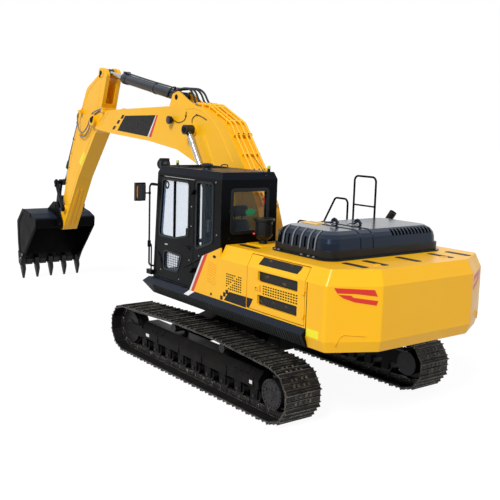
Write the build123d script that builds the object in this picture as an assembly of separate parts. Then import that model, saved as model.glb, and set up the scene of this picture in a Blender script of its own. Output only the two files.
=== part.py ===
from build123d import *
import math
import os

# Crawler excavator of the 36-tonne class, in millimetres.
# X points forward over the boom, Y to the left (cab side), Z up.
# The origin is on the ground under the slew axis. The rest pose is the parked pose of the photograph.

# Tracks
TRACK_GAUGE = 2600
SHOE_WIDTH = 600
TRACK_RADIUS = 412
SPROCKET_X = -2010
IDLER_X = 2075
TOP_RUN_FRONT_X = 700
TOP_RUN_REAR_X = -650
TOP_RUN_Z = 905
SHOE_COUNT = 46
SHOE_PLATE = 18
GROUSER_HEIGHT = 30
SHOE_DEPTH = SHOE_PLATE + GROUSER_HEIGHT
SHOE_NOTCH = 10
CHAIN_DEPTH = 92
RAIL_LAP = 3
WHEEL_TURN_STEPS = 12
RAIL_THICKNESS = 45
RAIL_SPACING = 170
RUNNING_GAP = 0.3

# Wheels on the tracks
ROLLER_COUNT = 9
ROLLER_RADIUS = 90
ROLLER_PITCH = 380
ROLLER_WIDTH = 250
CARRIER_RADIUS = 70
HUB_RADIUS = 206
HUB_REACH = 245
MOTOR_RADIUS = 185
SPROCKET_THICKNESS = 86
SPROCKET_TEETH = 23
SPROCKET_TOOTH_HEIGHT = 42
IDLER_HUB_RADIUS = 120
FORK_THICKNESS = 28

# Track frames and centre frame
FRAME_WIDTH = 320
FRAME_LOW_Z = 350
FRAME_HIGH_Z = 600
FRAME_HALF_LENGTH = 1620
CENTRE_HALF_X = 640
CENTRE_HALF_Y = 560
CENTRE_LOW_Z = 470
CENTRE_HIGH_Z = 940
LEG_REACH_X = 1180
RING_OUTER_R = 700
RING_INNER_R = 560
RING_LOW_Z = 1000
RING_HEIGHT = 110

# Bodywork behind the cab, and what takes its width from it
BODY_HALF_Y = 1510
BODY_FRONT_X = -700
BODY_REAR_X = -2600
SHOULDER_Z = 2030
BODY_TOP_Z = 2225
TOP_INSET = 105
SHEET = 40
DOOR_GAP = 13
DOOR_SEAM_X = -1350
DOOR_TOP_DROP = 35
DOOR_WRAP = 110
DOOR_FOOT = 30
HINGE_POST = 45

# Upper frame and side rails
DECK_LOW_Z = 1290
DECK_HIGH_Z = 1435
DECK_FRONT_X = 1240
DECK_HALF_Y = BODY_HALF_Y - 70
BEAM_LOW_Z = 1200
BEAM_THICKNESS = 45
BEAM_INNER_Y = 300
RAIL_CREST_Y = BODY_HALF_Y + 70
RAIL_CREST_Z = 1362
RAIL_LOW_Z = 1200
RAIL_LOW_Y = BODY_HALF_Y - 10
RAIL_FRONT_X = 1400
RAIL_LOW_FRONT_X = 1170

# Counterweight
CW_CORNER_X = -2930
CW_REAR_X = -3280
CW_REAR_HALF_Y = BODY_HALF_Y - 640
CW_LOW_Z = 1195
CW_BEVEL_Z = 1335
CW_BEVEL_INSET = 45
CW_TOP_INSET = 85
CW_EDGE_RADIUS = 60
EYE_RADIUS = 32
EYE_DEPTH = 120

# Engine, hood and what stands on the deck
HOOD_FRONT_X = -1240
HOOD_REAR_X = -2530
HOOD_HALF_Y = BODY_HALF_Y - 410
HOOD_RIGHT_Y = HOOD_HALF_Y + 70
HOOD_CORNER_R = 210
HOOD_WALL = 25
HOOD_SEAT_GAP = 2
HOOD_FLANGE = 20
OUTER_ROW_Y = BODY_HALF_Y - 260
EXHAUST_RADIUS = 58

# Cab
CAB_REAR_X = -655
CAB_FRONT_X = 1240
CAB_FRONT_TOP_X = 1120
CAB_RIGHT_Y = 464
CAB_LEFT_Y = BODY_HALF_Y - 38
CAB_SHOULDER_Z = 3148
CAB_TOP_Z = 3252
CAB_BEVEL = 40
CAB_WALL = 60
DOOR_REAR_X = 65
DOOR_LOW_Z = 1480
DOOR_HIGH_Z = 3090
CAB_DOOR_GAP = 12
CAB_HINGE = (50, BODY_HALF_Y + 15)
CAB_HINGE_LEVELS = (1700, 2880)
HINGE_LEAF = 40
A_PILLAR = 70
GLASS = 6
STAY_Y = BODY_HALF_Y - 10
MIRROR_Y = BODY_HALF_Y + 80
GLASS_SEAT = 14
CONSOLE_WIDTH = 150
CONSOLE_CLEARANCE = 20

# Front attachment, side view: pins as (x, z)
BOOM_FOOT = (100, 2100)
BOOM_NOSE = (5970, 3940)
BOOM_CYL_FOOT = (650, 1750)
BOOM_CYL_PIN = (2050, 3820)
ARM_CYL_FOOT = (2760, 4400)
ARM_CYL_PIN = (5740, 4935)
BUCKET_PIN = (7810, 1460)
ROCKER_PIN = (7570, 1870)
ROD_PIN = (7940, 2460)
LINK_PIN = (8110, 1890)
BUCKET_CYL_FOOT = (7050, 4020)

BOOM_HALF = 220
NOSE_PLATE = 37
NOSE_SLOT_R = 700
BOOM_FOOT_HALF = 290
ARM_HALF = 175
PIN_RADIUS = 55
PIN_GAP = 0.3
BOOM_CYL_Y = 335
EAR_Y = 184
EAR_THICKNESS = 30
ROCKER_Y = 228
ROCKER_THICKNESS = 35
BUCKET_HALF = 760
BUCKET_WALL = 32
TOOTH_PITCH = 354
TOOTH_TIP = (8880, 32)
TOOTH_ROOT = (8945, 420)
TOOTH_HALF = 48
TOOTH_TIP_HALF = 22
TOOTH_TAPER_HEIGHT = 260

os.makedirs("parts", exist_ok=True)


def plate(corners, y0, y1):
    """A plate in side view: corners are (x, z, corner radius), and it stands from y0 to y1."""
    points = [(x, y0, z) for x, z, r in corners]
    radii = [r for x, z, r in corners]
    if any(radii):
        outline = FilletPolyline(*points, radius=radii, close=True)
    else:
        outline = Polyline(*points, close=True)
    return extrude(make_face(outline), amount=y1 - y0, dir=(0, 1, 0))


def slab(corners, z0, z1):
    """A slab in plan view: corners are (x, y, corner radius), and it stands from z0 to z1."""
    return extrude(plan_face(corners, z0), amount=z1 - z0, dir=(0, 0, 1))


def plan_face(corners, z):
    """A flat face in plan view at height z, from corners (x, y, corner radius)."""
    points = [(x, y, z) for x, y, r in corners]
    radii = [r for x, y, r in corners]
    if any(radii):
        return make_face(FilletPolyline(*points, radius=radii, close=True))
    return make_face(Polyline(*points, close=True))


def rib(corners, x0, x1):
    """A bar in end view: corners are (y, z), and it runs from x0 to x1."""
    face = make_face(Polyline(*[(x0, y, z) for y, z in corners], close=True))
    return extrude(face, amount=x1 - x0, dir=(1, 0, 0))


def block(x0, x1, y0, y1, z0, z1):
    """A box from its limits."""
    size = (x1 - x0, y1 - y0, z1 - z0)
    return Pos(x0 + size[0] / 2, y0 + size[1] / 2, z0 + size[2] / 2) * Box(*size)


def pin(centre, radius, y0, y1):
    """A round bar along Y at a side-view point."""
    x, z = centre
    return Pos(x, (y0 + y1) / 2, z) * Rot(90, 0, 0) * Cylinder(radius, y1 - y0)


def post(x, y, radius, z0, z1):
    """A round bar along Z."""
    return Pos(x, y, (z0 + z1) / 2) * Cylinder(radius, z1 - z0)


def both(shape):
    """A left piece together with its mirror image on the right."""
    return shape + mirror(shape, about=Plane.XZ)


def along(start, end):
    """Length and slope in degrees from one side-view point to another."""
    dx = end[0] - start[0]
    dz = end[1] - start[1]
    return math.hypot(dx, dz), math.degrees(math.atan2(dz, dx))


def bar(start, slope, near, far, radius, y):
    """A round bar in the side plane, from near to far along a line that leaves start at a slope."""
    c = math.cos(math.radians(slope))
    s = math.sin(math.radians(slope))
    middle = (near + far) / 2
    place = Pos(start[0] + c * middle, y, start[1] + s * middle)
    return place * Rot(0, 90 - slope, 0) * Cylinder(radius, far - near)


def bar_block(start, slope, near, far, low, high, y0, y1):
    """A squared block on a line that leaves start at a slope, between two heights off the line."""
    c = math.cos(math.radians(slope))
    s = math.sin(math.radians(slope))
    corners = [(near, low), (far, low), (far, high), (near, high)]
    return plate([(start[0] + c * a - s * b, start[1] + s * a + c * b, 0) for a, b in corners], y0, y1)


def tube_run(points, radius, bend):
    """A bent tube along points with a bend radius at each inner corner."""
    if len(points) > 2:
        path = FilletPolyline(*points, radius=bend)
    else:
        path = Polyline(*points)
    start = path @ 0
    section = Plane(origin=start, z_dir=path % 0) * Circle(radius)
    return sweep(section, path=path)


def save(name, shape):
    """Writes one sub-part under its own name."""
    shape.label = name
    export_step(shape, f"parts/{name}.step")


# Tracks: one fixed loop a side, shoes outside and the two chain rails inside
TRACK_Y = TRACK_GAUGE / 2
CHAIN_INNER_R = TRACK_RADIUS - SHOE_DEPTH - CHAIN_DEPTH


def loop_corners(depth):
    """The loop at a depth under the shoe tips: radius, height of the top run, and where each wheel's arc ends."""
    r = TRACK_RADIUS - depth
    top = TOP_RUN_Z - depth
    rise = top - (TRACK_RADIUS + r)
    front_end = math.pi / 2 - math.atan2(rise, IDLER_X - TOP_RUN_FRONT_X)
    rear_start = math.pi / 2 + math.atan2(rise, TOP_RUN_REAR_X - SPROCKET_X)
    return r, top, front_end, rear_start


def on_wheel(x, radius, angle):
    """A side-view point on a circle about a wheel's centre."""
    return x + radius * math.cos(angle), TRACK_RADIUS + radius * math.sin(angle)


def loop_outline(depth, outside):
    """The loop as straight chords: they run just outside the wheels' arcs, or just inside them."""
    r, top, front_end, rear_start = loop_corners(depth)
    points = []
    for x, start, end in ((IDLER_X, -math.pi / 2, front_end), (SPROCKET_X, rear_start, math.pi * 1.5)):
        step = (end - start) / WHEEL_TURN_STEPS
        points.append(on_wheel(x, r, start))
        if outside:
            for k in range(WHEEL_TURN_STEPS):
                points.append(on_wheel(x, r / math.cos(step / 2), start + (k + 0.5) * step))
        else:
            for k in range(1, WHEEL_TURN_STEPS):
                points.append(on_wheel(x, r, start + k * step))
        points.append(on_wheel(x, r, end))
        if x == IDLER_X:
            points += [(TOP_RUN_FRONT_X, top), (TOP_RUN_REAR_X, top)]
    return points


def loop_places(depth, count):
    """Evenly spread points on the loop at a depth, from under the sprocket forward and round."""
    r, top, front_end, rear_start = loop_corners(depth)
    corners = [(SPROCKET_X, depth), (IDLER_X, depth), on_wheel(IDLER_X, r, front_end)]
    corners += [(TOP_RUN_FRONT_X, top), (TOP_RUN_REAR_X, top), on_wheel(SPROCKET_X, r, rear_start)]
    runs = [
        (math.dist(corners[0], corners[1]), corners[0], corners[1], None),
        (r * (front_end + math.pi / 2), IDLER_X, -math.pi / 2, r),
        (math.dist(corners[2], corners[3]), corners[2], corners[3], None),
        (math.dist(corners[3], corners[4]), corners[3], corners[4], None),
        (math.dist(corners[4], corners[5]), corners[4], corners[5], None),
        (r * (math.pi * 1.5 - rear_start), SPROCKET_X, rear_start, r),
    ]
    whole = sum(run[0] for run in runs)
    places = []
    for i in range(count):
        s = whole * i / count
        for length, start, end, radius in runs:
            if s <= length:
                break
            s -= length
        if radius:
            places.append(on_wheel(start, radius, end + s / radius))
        else:
            share = s / length
            places.append((start[0] + share * (end[0] - start[0]), start[1] + share * (end[1] - start[1])))
    return places


SHOE_PROFILE = (
    # share of the shoe's length, share of the grouser's height: a leading grouser and two lower ones
    (0.03, 0),
    (0.06, 1),
    (0.11, 1),
    (0.15, 0),
    (0.43, 0),
    (0.49, 0.85),
    (0.55, 0),
    (0.82, 0),
    (0.88, 0.85),
    (0.94, 0),
)


def shoe_outline(places):
    """Outer outline of all shoes: each stands on the chord between two places, with a notch to the next."""
    points = []
    for i, (x0, z0) in enumerate(places):
        x1, z1 = places[(i + 1) % len(places)]
        length = math.dist((x0, z0), (x1, z1))
        along_x, along_z = (x1 - x0) / length, (z1 - z0) / length
        heights = [(share, SHOE_PLATE + rise * GROUSER_HEIGHT) for share, rise in SHOE_PROFILE]
        for share, height in heights + [(0.985, SHOE_PLATE - SHOE_NOTCH)]:
            s = share * length
            points.append((x0 + along_x * s + along_z * height, z0 + along_z * s - along_x * height))
    return points


def band(outer, inner, y0, y1):
    """A closed band between two side-view outlines."""
    face = make_face(Polyline(*[(x, y0, z) for x, z in outer], close=True))
    face -= make_face(Polyline(*[(x, y0, z) for x, z in inner], close=True))
    return extrude(face, amount=y1 - y0, dir=(0, 1, 0))


def track():
    """Shoes and chain of the left track."""
    places = loop_places(SHOE_DEPTH, SHOE_COUNT)
    whole = band(shoe_outline(places), places, TRACK_Y - SHOE_WIDTH / 2, TRACK_Y + SHOE_WIDTH / 2)
    outer = loop_outline(SHOE_DEPTH - RAIL_LAP, False)
    inner = loop_outline(SHOE_DEPTH + CHAIN_DEPTH, True)
    for side in (-1, 1):
        rail_y = TRACK_Y + side * RAIL_SPACING / 2
        whole += band(outer, inner, rail_y - RAIL_THICKNESS / 2, rail_y + RAIL_THICKNESS / 2)
    return whole


def sprocket():
    """Toothed ring with the final-drive hub outside and the travel motor inside."""
    centre = (SPROCKET_X, TRACK_RADIUS)
    half = SPROCKET_THICKNESS / 2
    wheel = pin(centre, CHAIN_INNER_R - 20, TRACK_Y - half, TRACK_Y + half)
    for i in range(SPROCKET_TEETH):
        turn = 360 / SPROCKET_TEETH * i
        reach = CHAIN_INNER_R - 20 + SPROCKET_TOOTH_HEIGHT / 2
        wheel += bar(centre, turn, reach - 40, reach + SPROCKET_TOOTH_HEIGHT / 2, 26, TRACK_Y)
    wheel += pin(centre, HUB_RADIUS, TRACK_Y + half - 1, TRACK_Y + HUB_REACH)
    return wheel + pin(centre, MOTOR_RADIUS, TRACK_Y - FRAME_WIDTH / 2 - 60, TRACK_Y - half + 1)


def idler():
    """Idler wheel with a centre flange between the chain rails."""
    centre = (IDLER_X, TRACK_RADIUS)
    half_rail = RAIL_SPACING / 2 + RAIL_THICKNESS / 2
    wheel = pin(centre, CHAIN_INNER_R - RUNNING_GAP, TRACK_Y - half_rail, TRACK_Y + half_rail)
    flange = RAIL_SPACING / 2 - RAIL_THICKNESS / 2 - 5
    wheel += pin(centre, CHAIN_INNER_R + 25, TRACK_Y - flange, TRACK_Y + flange)
    hub = FRAME_WIDTH / 2 - FORK_THICKNESS
    return wheel + pin(centre, IDLER_HUB_RADIUS, TRACK_Y - hub, TRACK_Y + hub)


def bottom_roller(x):
    """Bottom roller with two flanges outside the chain rails."""
    centre = (x, SHOE_DEPTH + CHAIN_DEPTH + RUNNING_GAP + ROLLER_RADIUS)
    half = ROLLER_WIDTH / 2
    roller = pin(centre, ROLLER_RADIUS, TRACK_Y - half, TRACK_Y + half)
    for side in (-1, 1):
        y = TRACK_Y + side * (half - 8)
        roller += pin(centre, ROLLER_RADIUS + 18, y - 8, y + 8)
    return roller


def carrier_roller(x):
    """Carrier roller under the top run, on a short shaft from its bracket."""
    centre = (x, TOP_RUN_Z - SHOE_DEPTH - CHAIN_DEPTH - RUNNING_GAP - CARRIER_RADIUS)
    half_rail = RAIL_SPACING / 2 + RAIL_THICKNESS / 2
    roller = pin(centre, CARRIER_RADIUS, TRACK_Y - half_rail, TRACK_Y + half_rail)
    return roller + pin(centre, 35, TRACK_Y - FRAME_WIDTH / 2 + 25, TRACK_Y - half_rail + 1)


def track_frame():
    """Side frame: box with a sloping top, roller brackets, idler fork and motor bracket."""
    y0 = TRACK_Y - FRAME_WIDTH / 2
    y1 = TRACK_Y + FRAME_WIDTH / 2
    end = FRAME_HALF_LENGTH
    slope = 60
    profile = [(y0, FRAME_LOW_Z), (y1, FRAME_LOW_Z), (y1, FRAME_HIGH_Z - slope * 2)]
    profile += [(y1 - 90, FRAME_HIGH_Z), (y0, FRAME_HIGH_Z)]
    frame = rib(profile, -end, end)
    for x in roller_places():
        for y in (y0, y1 - 35):
            frame += block(x - 75, x + 75, y, y + 35, 190, FRAME_LOW_Z + 1)
    for y in (y0, y1 - FORK_THICKNESS):
        fork = [(end - 1, 330, 0), (IDLER_X + 90, 345, 40), (IDLER_X + 90, 480, 40), (end - 1, 520, 0)]
        frame += plate(fork, y, y + FORK_THICKNESS)
    motor = [(-end + 1, 345, 0), (SPROCKET_X - 120, 300, 60), (SPROCKET_X - 120, 540, 60), (-end + 1, 560, 0)]
    cheek = plate(motor, y0, y0 + 45) - pin((SPROCKET_X, TRACK_RADIUS), MOTOR_RADIUS, y0 - 5, y0 + 60)
    frame += cheek
    for x in carrier_places():
        frame += block(x - 45, x + 45, y0, y0 + 25, FRAME_HIGH_Z - 1, 740)
    return frame


def roller_places():
    """X of each bottom roller, evenly spread between idler and sprocket."""
    return [(i - (ROLLER_COUNT - 1) / 2) * ROLLER_PITCH for i in range(ROLLER_COUNT)]


def carrier_places():
    """X of each carrier roller."""
    return [TOP_RUN_FRONT_X, TOP_RUN_REAR_X]


def centre_frame():
    """Car body: a box under the slew ring with four splayed legs to the track frames."""
    inner_y = TRACK_Y - FRAME_WIDTH / 2
    frame = block(-CENTRE_HALF_X, CENTRE_HALF_X, -CENTRE_HALF_Y, CENTRE_HALF_Y, CENTRE_LOW_Z, CENTRE_HIGH_Z)
    frame += post(0, 0, RING_OUTER_R + 20, CENTRE_HIGH_Z - 60, RING_LOW_Z)
    side = [(300, CENTRE_LOW_Z + 20), (300, CENTRE_HIGH_Z - 20), (CENTRE_HALF_Y, CENTRE_HIGH_Z - 20)]
    side += [(inner_y, FRAME_HIGH_Z - 20), (inner_y, FRAME_LOW_Z + 20)]
    for sx in (-1, 1):
        near = sx * (CENTRE_HALF_X - 330)
        foot = sx * (LEG_REACH_X - 420)
        plan = [(near, 300, 0), (sx * CENTRE_HALF_X, 300, 0), (sx * LEG_REACH_X, inner_y, 0), (foot, inner_y, 0)]
        leg = slab(plan, FRAME_LOW_Z, CENTRE_HIGH_Z) & rib(side, -1300, 1300)
        frame += both(leg)
    return frame


def slew_ring():
    """Slewing bearing between car body and upper frame."""
    return post(0, 0, RING_OUTER_R, RING_LOW_Z, RING_LOW_Z + RING_HEIGHT) - post(
        0, 0, RING_INNER_R, RING_LOW_Z - 5, RING_LOW_Z + RING_HEIGHT + 5
    )


def upper_frame():
    """Deck with two main beams, boom foot brackets and boom-cylinder lugs."""
    ring_top = RING_LOW_Z + RING_HEIGHT + RUNNING_GAP
    front = 170
    deck_plan = [
        (BODY_REAR_X, -DECK_HALF_Y, 0),
        (DECK_FRONT_X - front, -DECK_HALF_Y, 0),
        (DECK_FRONT_X, -DECK_HALF_Y + front, 0),
        (DECK_FRONT_X, DECK_HALF_Y, 0),
        (BODY_REAR_X, DECK_HALF_Y, 0),
    ]
    frame = slab(deck_plan, DECK_LOW_Z, DECK_HIGH_Z)
    frame += block(BODY_REAR_X, DECK_FRONT_X - 120, -CENTRE_HALF_Y, CENTRE_HALF_Y, BEAM_LOW_Z, DECK_LOW_Z + 1)
    frame += post(0, 0, RING_OUTER_R - 30, ring_top, BEAM_LOW_Z + 1)
    fx, fz = BOOM_FOOT
    bracket = [
        (fx - 560, DECK_HIGH_Z - 5, 0),
        (fx - 330, fz - 150, 120),
        (fx - 150, fz + 150, 90),
        (fx + 110, fz + 160, 90),
        (fx + 230, fz - 20, 90),
        (fx + 370, DECK_HIGH_Z - 5, 0),
    ]
    cheek = plate(bracket, BEAM_INNER_Y, BEAM_INNER_Y + BEAM_THICKNESS)
    frame += both(cheek) + pin(BOOM_FOOT, PIN_RADIUS, -BEAM_INNER_Y - 60, BEAM_INNER_Y + 60)
    gx, gz = BOOM_CYL_FOOT
    foot_z = DECK_HIGH_Z - 5
    lug = [(gx - 170, foot_z, 0), (gx - 85, gz + 70, 75), (gx + 85, gz + 70, 75), (gx + 140, foot_z, 0)]
    for y in (BOOM_CYL_Y - 98, BOOM_CYL_Y + 65):
        frame += both(plate(lug, y, y + 33))
    frame += both(pin(BOOM_CYL_FOOT, 45, BOOM_CYL_Y - 98, BOOM_CYL_Y + 98))
    return frame


def side_rail():
    """Left side rail of the deck: two bevels that meet in a crest, with a pointed front end."""
    section = [
        (DECK_HALF_Y, DECK_HIGH_Z),
        (RAIL_LOW_Y, DECK_HIGH_Z),
        (RAIL_CREST_Y, RAIL_CREST_Z),
        (RAIL_LOW_Y, RAIL_LOW_Z),
        (DECK_HALF_Y, RAIL_LOW_Z),
    ]
    rail = rib(section, BODY_REAR_X, RAIL_FRONT_X + 50)
    front = [
        (BODY_REAR_X, RAIL_LOW_Z, 0),
        (RAIL_LOW_FRONT_X, RAIL_LOW_Z, 0),
        (RAIL_FRONT_X, RAIL_CREST_Z, 0),
        (RAIL_FRONT_X - 60, DECK_HIGH_Z, 0),
        (BODY_REAR_X, DECK_HIGH_Z, 0),
    ]
    return rail & plate(front, DECK_HALF_Y - 10, RAIL_CREST_Y + 10)


def cw_plan(inset, rear_inset):
    """Plan outline of the counterweight, drawn in by an inset."""
    y1 = BODY_HALF_Y - inset
    y2 = CW_REAR_HALF_Y - rear_inset * 0.4
    xr = CW_REAR_X + rear_inset
    xc = CW_CORNER_X + inset * 0.3
    r = CW_EDGE_RADIUS
    return [(BODY_REAR_X, -y1, 0), (BODY_REAR_X, y1, 0), (xc, y1, r), (xr, y2, r), (xr, -y2, r), (xc, -y1, r)]


def counterweight():
    """Cast counterweight with bevelled foot, chamfered top and two lifting-eye holes."""
    full = cw_plan(0, 0)
    low = plan_face(cw_plan(CW_BEVEL_INSET, CW_BEVEL_INSET), CW_LOW_Z)
    foot = loft([low, plan_face(full, CW_BEVEL_Z)], ruled=True)
    wall = slab(full, CW_BEVEL_Z, SHOULDER_Z)
    top_plan = cw_plan(TOP_INSET, CW_TOP_INSET)
    top = loft([plan_face(full, SHOULDER_Z), plan_face(top_plan, BODY_TOP_Z)], ruled=True)
    weight = foot + wall + top
    for y in (-lift_eye_y(), lift_eye_y()):
        weight -= post(lift_eye_x(), y, EYE_RADIUS, BODY_TOP_Z - EYE_DEPTH, BODY_TOP_Z + 5)
    return weight


def lift_eye_x():
    """X of the threaded lifting holes in the counterweight."""
    return (BODY_REAR_X + CW_REAR_X) / 2


def lift_eye_y():
    """Distance of a lifting hole from the middle plane."""
    return CW_REAR_HALF_Y * 0.75


def body_section(inset):
    """End view of the bodywork, drawn in by an inset."""
    y = BODY_HALF_Y - inset
    z = BODY_TOP_Z - inset
    low = DECK_HIGH_Z if inset == 0 else DECK_HIGH_Z - 10
    return [(-y, low), (y, low), (y, SHOULDER_Z), (y - TOP_INSET, z), (-y + TOP_INSET, z), (-y, SHOULDER_Z)]


SIDE_DOORS = (
    # name, front x, rear x, side (1 left, -1 right), hinge edge (-1 rear, 1 front)
    ("door_left", DOOR_SEAM_X - DOOR_GAP, BODY_REAR_X + HINGE_POST, 1, -1),
    ("door_right", -900, -2000, -1, 1),
)
DOOR_SLOTS = (
    # low z, high z of the two slots in a door's wall
    (1545, 1684),
    (1864, 2005),
)
SLOT_FREE_INSET = 232
SLOT_HINGE_INSET = 137
SLOT_CORNER_R = 22
SHOULDER_SLOT = (
    # distance from the free edge, from the hinge edge, and height, at the slot's low and high edge
    (203, 185, 2089),
    (250, 135, 2165),
)
KNUCKLE_R = 12
KNUCKLE_LENGTH = 40
DOOR_HINGE_LEVELS = (1560, 1860)
HOOD_HINGE_YS = (-620, 580)
DOOR_LOW = DECK_HIGH_Z + DOOR_FOOT
DOOR_HIGH = BODY_TOP_Z - DOOR_TOP_DROP


def door_zone(x_front, x_rear, side, grow):
    """The space of one side door in the side wall and the shoulder above it, grown by a gap."""
    inner = side * (BODY_HALF_Y - DOOR_WRAP - grow)
    outer = side * (BODY_HALF_Y + SHEET)
    y0, y1 = sorted((inner, outer))
    return block(x_rear - grow, x_front + grow, y0, y1, DOOR_LOW - grow, DOOR_HIGH + grow)


def bodywork():
    """Sheet-metal shell of the engine bay, open to the counterweight, under the hood and at its doors."""
    shell = rib(body_section(0), BODY_REAR_X, BODY_FRONT_X)
    shell -= rib(body_section(SHEET), BODY_REAR_X - 10, BODY_FRONT_X - SHEET)
    for door in SIDE_DOORS:
        shell -= door_zone(*door[1:4], DOOR_GAP)
    shell -= block(HOOD_REAR_X + 60, HOOD_FRONT_X - 60, -HOOD_HALF_Y + 60, HOOD_HALF_Y - 60, 2000, 2300)
    for name, x_front, x_rear, side, edge in SIDE_DOORS:
        hinge_x = x_front if edge > 0 else x_rear
        for z in DOOR_HINGE_LEVELS:
            shell += door_knuckle(hinge_x, side, edge, z + KNUCKLE_LENGTH + PIN_GAP)
    for y in HOOD_HINGE_YS:
        shell += hood_knuckle(y + KNUCKLE_LENGTH + PIN_GAP) + block(
            HOOD_HINGE_X - KNUCKLE_R,
            HOOD_HINGE_X + KNUCKLE_R,
            y + KNUCKLE_LENGTH + PIN_GAP,
            y + 2 * KNUCKLE_LENGTH + PIN_GAP,
            BODY_TOP_Z - 1,
            HOOD_HINGE_Z,
        )
    return shell


def door_knuckle(x, side, reach, z):
    """Hinge knuckle just outside a side wall, with the strap that joins it to the metal on one side."""
    y = side * (BODY_HALF_Y + KNUCKLE_R)
    near = side * (BODY_HALF_Y - 1)
    far = side * (BODY_HALF_Y + 2 * KNUCKLE_R)
    x_end = x + reach * 2 * KNUCKLE_R
    strap = block(min(x, x_end), max(x, x_end), min(near, far), max(near, far), z, z + KNUCKLE_LENGTH)
    return strap + post(x, y, KNUCKLE_R, z, z + KNUCKLE_LENGTH)


def side_door(x_front, x_rear, side, edge):
    """One sheet-metal side door, bent over the shoulder, with its cooling slots and hinge knuckles."""
    wall = rib(body_section(0), x_rear, x_front) - rib(body_section(SHEET), x_rear - 5, x_front + 5)
    door = wall & door_zone(x_front, x_rear, side, 0)
    hinge_x, free_x = (x_front, x_rear) if edge > 0 else (x_rear, x_front)
    inward = -edge
    y0, y1 = sorted((side * (BODY_HALF_Y - SHEET - 10), side * (BODY_HALF_Y + 10)))
    for low, high in DOOR_SLOTS:
        a = hinge_x + inward * SLOT_HINGE_INSET
        b = free_x - inward * SLOT_FREE_INSET
        r = SLOT_CORNER_R
        door -= plate([(a, low, r), (b, low, r), (b, high, r), (a, high, r)], y0, y1)
    plan = []
    for free_inset, hinge_inset, z in SHOULDER_SLOT:
        y = side * (BODY_HALF_Y - TOP_INSET * (z - SHOULDER_Z) / (BODY_TOP_Z - SHOULDER_Z))
        ends = [(hinge_x + inward * hinge_inset, y, 0), (free_x - inward * free_inset, y, 0)]
        plan += ends if not plan else ends[::-1]
    door -= slab(plan, SHOULDER_Z - 12, BODY_TOP_Z)
    for z in DOOR_HINGE_LEVELS:
        door += door_knuckle(hinge_x, side, -edge, z)
    return door


def left_front_panel():
    """Cover beside the rear foot of the cab, with its slanted front edge."""
    outline = [
        (BODY_FRONT_X, DECK_HIGH_Z, 0),
        (85, DECK_HIGH_Z, 0),
        (-240, 2000, 0),
        (-300, 2030, 0),
        (-400, 2065, 0),
        (BODY_FRONT_X, 2185, 0),
    ]
    return plate(outline, CAB_LEFT_Y + 4, BODY_HALF_Y)


def hood_plan(inset):
    """Plan outline of the engine hood, drawn in by an inset."""
    r = HOOD_CORNER_R - inset * 0.3
    y = HOOD_HALF_Y - inset
    right = HOOD_RIGHT_Y - inset
    return [
        (HOOD_REAR_X + inset, -right, r),
        (HOOD_FRONT_X - inset, -right, r),
        (HOOD_FRONT_X - inset, y, r),
        (HOOD_REAR_X + inset, y, r),
    ]


HOOD_STEPS = (
    # inset from the flange, height: the wall, then its edge rounding over to the top
    (45, 2240),
    (60, 2440),
    (76, 2500),
    (110, 2550),
    (175, 2590),
)
HOOD_GRILLE_SLOTS = 10
HOOD_GRILLE_PITCH = 84
HOOD_GRILLE_FRONT_X = -1400
HOOD_REAR_SLOTS = 12
HOOD_REAR_PITCH = 70
HOOD_REAR_FIRST_Y = -150


def hood_form(wall, foot_z):
    """The hood's outer form from a foot height up, or its hollow when drawn in by a wall."""
    form = None
    levels = [(inset + wall, z - wall) for inset, z in HOOD_STEPS]
    levels[0] = (levels[0][0], foot_z)
    for (inset_low, z_low), (inset_high, z_high) in zip(levels, levels[1:]):
        step = loft([plan_face(hood_plan(inset_low), z_low), plan_face(hood_plan(inset_high), z_high)], ruled=True)
        form = step if form is None else form + step
    return form


HOOD_HINGE_X = HOOD_FRONT_X + KNUCKLE_R + 4
HOOD_HINGE_Z = BODY_TOP_Z + KNUCKLE_R


def hood_knuckle(y):
    """Hinge knuckle at the hood's front edge."""
    return pin((HOOD_HINGE_X, HOOD_HINGE_Z), KNUCKLE_R, y, y + KNUCKLE_LENGTH)


def hood():
    """Black moulded engine hood, a shell open below, with its hinge knuckles."""
    seat = BODY_TOP_Z + HOOD_SEAT_GAP
    cover = slab(hood_plan(0), seat, seat + HOOD_FLANGE) + hood_form(0, seat) - hood_form(HOOD_WALL, seat - 5)
    for i in range(HOOD_GRILLE_SLOTS):
        x = HOOD_GRILLE_FRONT_X - i * HOOD_GRILLE_PITCH
        cover -= block(x - 20, x + 20, HOOD_HALF_Y - 150, HOOD_HALF_Y, 2300, 2490)
    for i in range(HOOD_REAR_SLOTS):
        y = HOOD_REAR_FIRST_Y - i * HOOD_REAR_PITCH
        cover -= block(HOOD_REAR_X + 40, HOOD_REAR_X + 150, y - 20, y + 20, 2490, 2610)
    for y in HOOD_HINGE_YS:
        strap = block(HOOD_FRONT_X - 12, HOOD_HINGE_X, y, y + KNUCKLE_LENGTH, seat, HOOD_HINGE_Z + KNUCKLE_R)
        cover += strap + hood_knuckle(y)
    return cover - block(HOOD_HINGE_X - 50, HOOD_HINGE_X + 50, -HOOD_HALF_Y, HOOD_HALF_Y, BODY_TOP_Z - 50, seat)


def engine():
    """The engine as one plain block at its place across the machine."""
    return block(-2350, -1500, -750, 700, DECK_HIGH_Z, 2120)


def pre_cleaner():
    """Air pre-cleaner: stem, drum and flat cap."""
    x, y = -890, BODY_HALF_Y - 630
    bowl = post(x, y, 110, BODY_TOP_Z, 2320) + post(x, y, 140, 2310, 2555)
    return bowl + post(x, y, 155, 2550, 2610)


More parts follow.
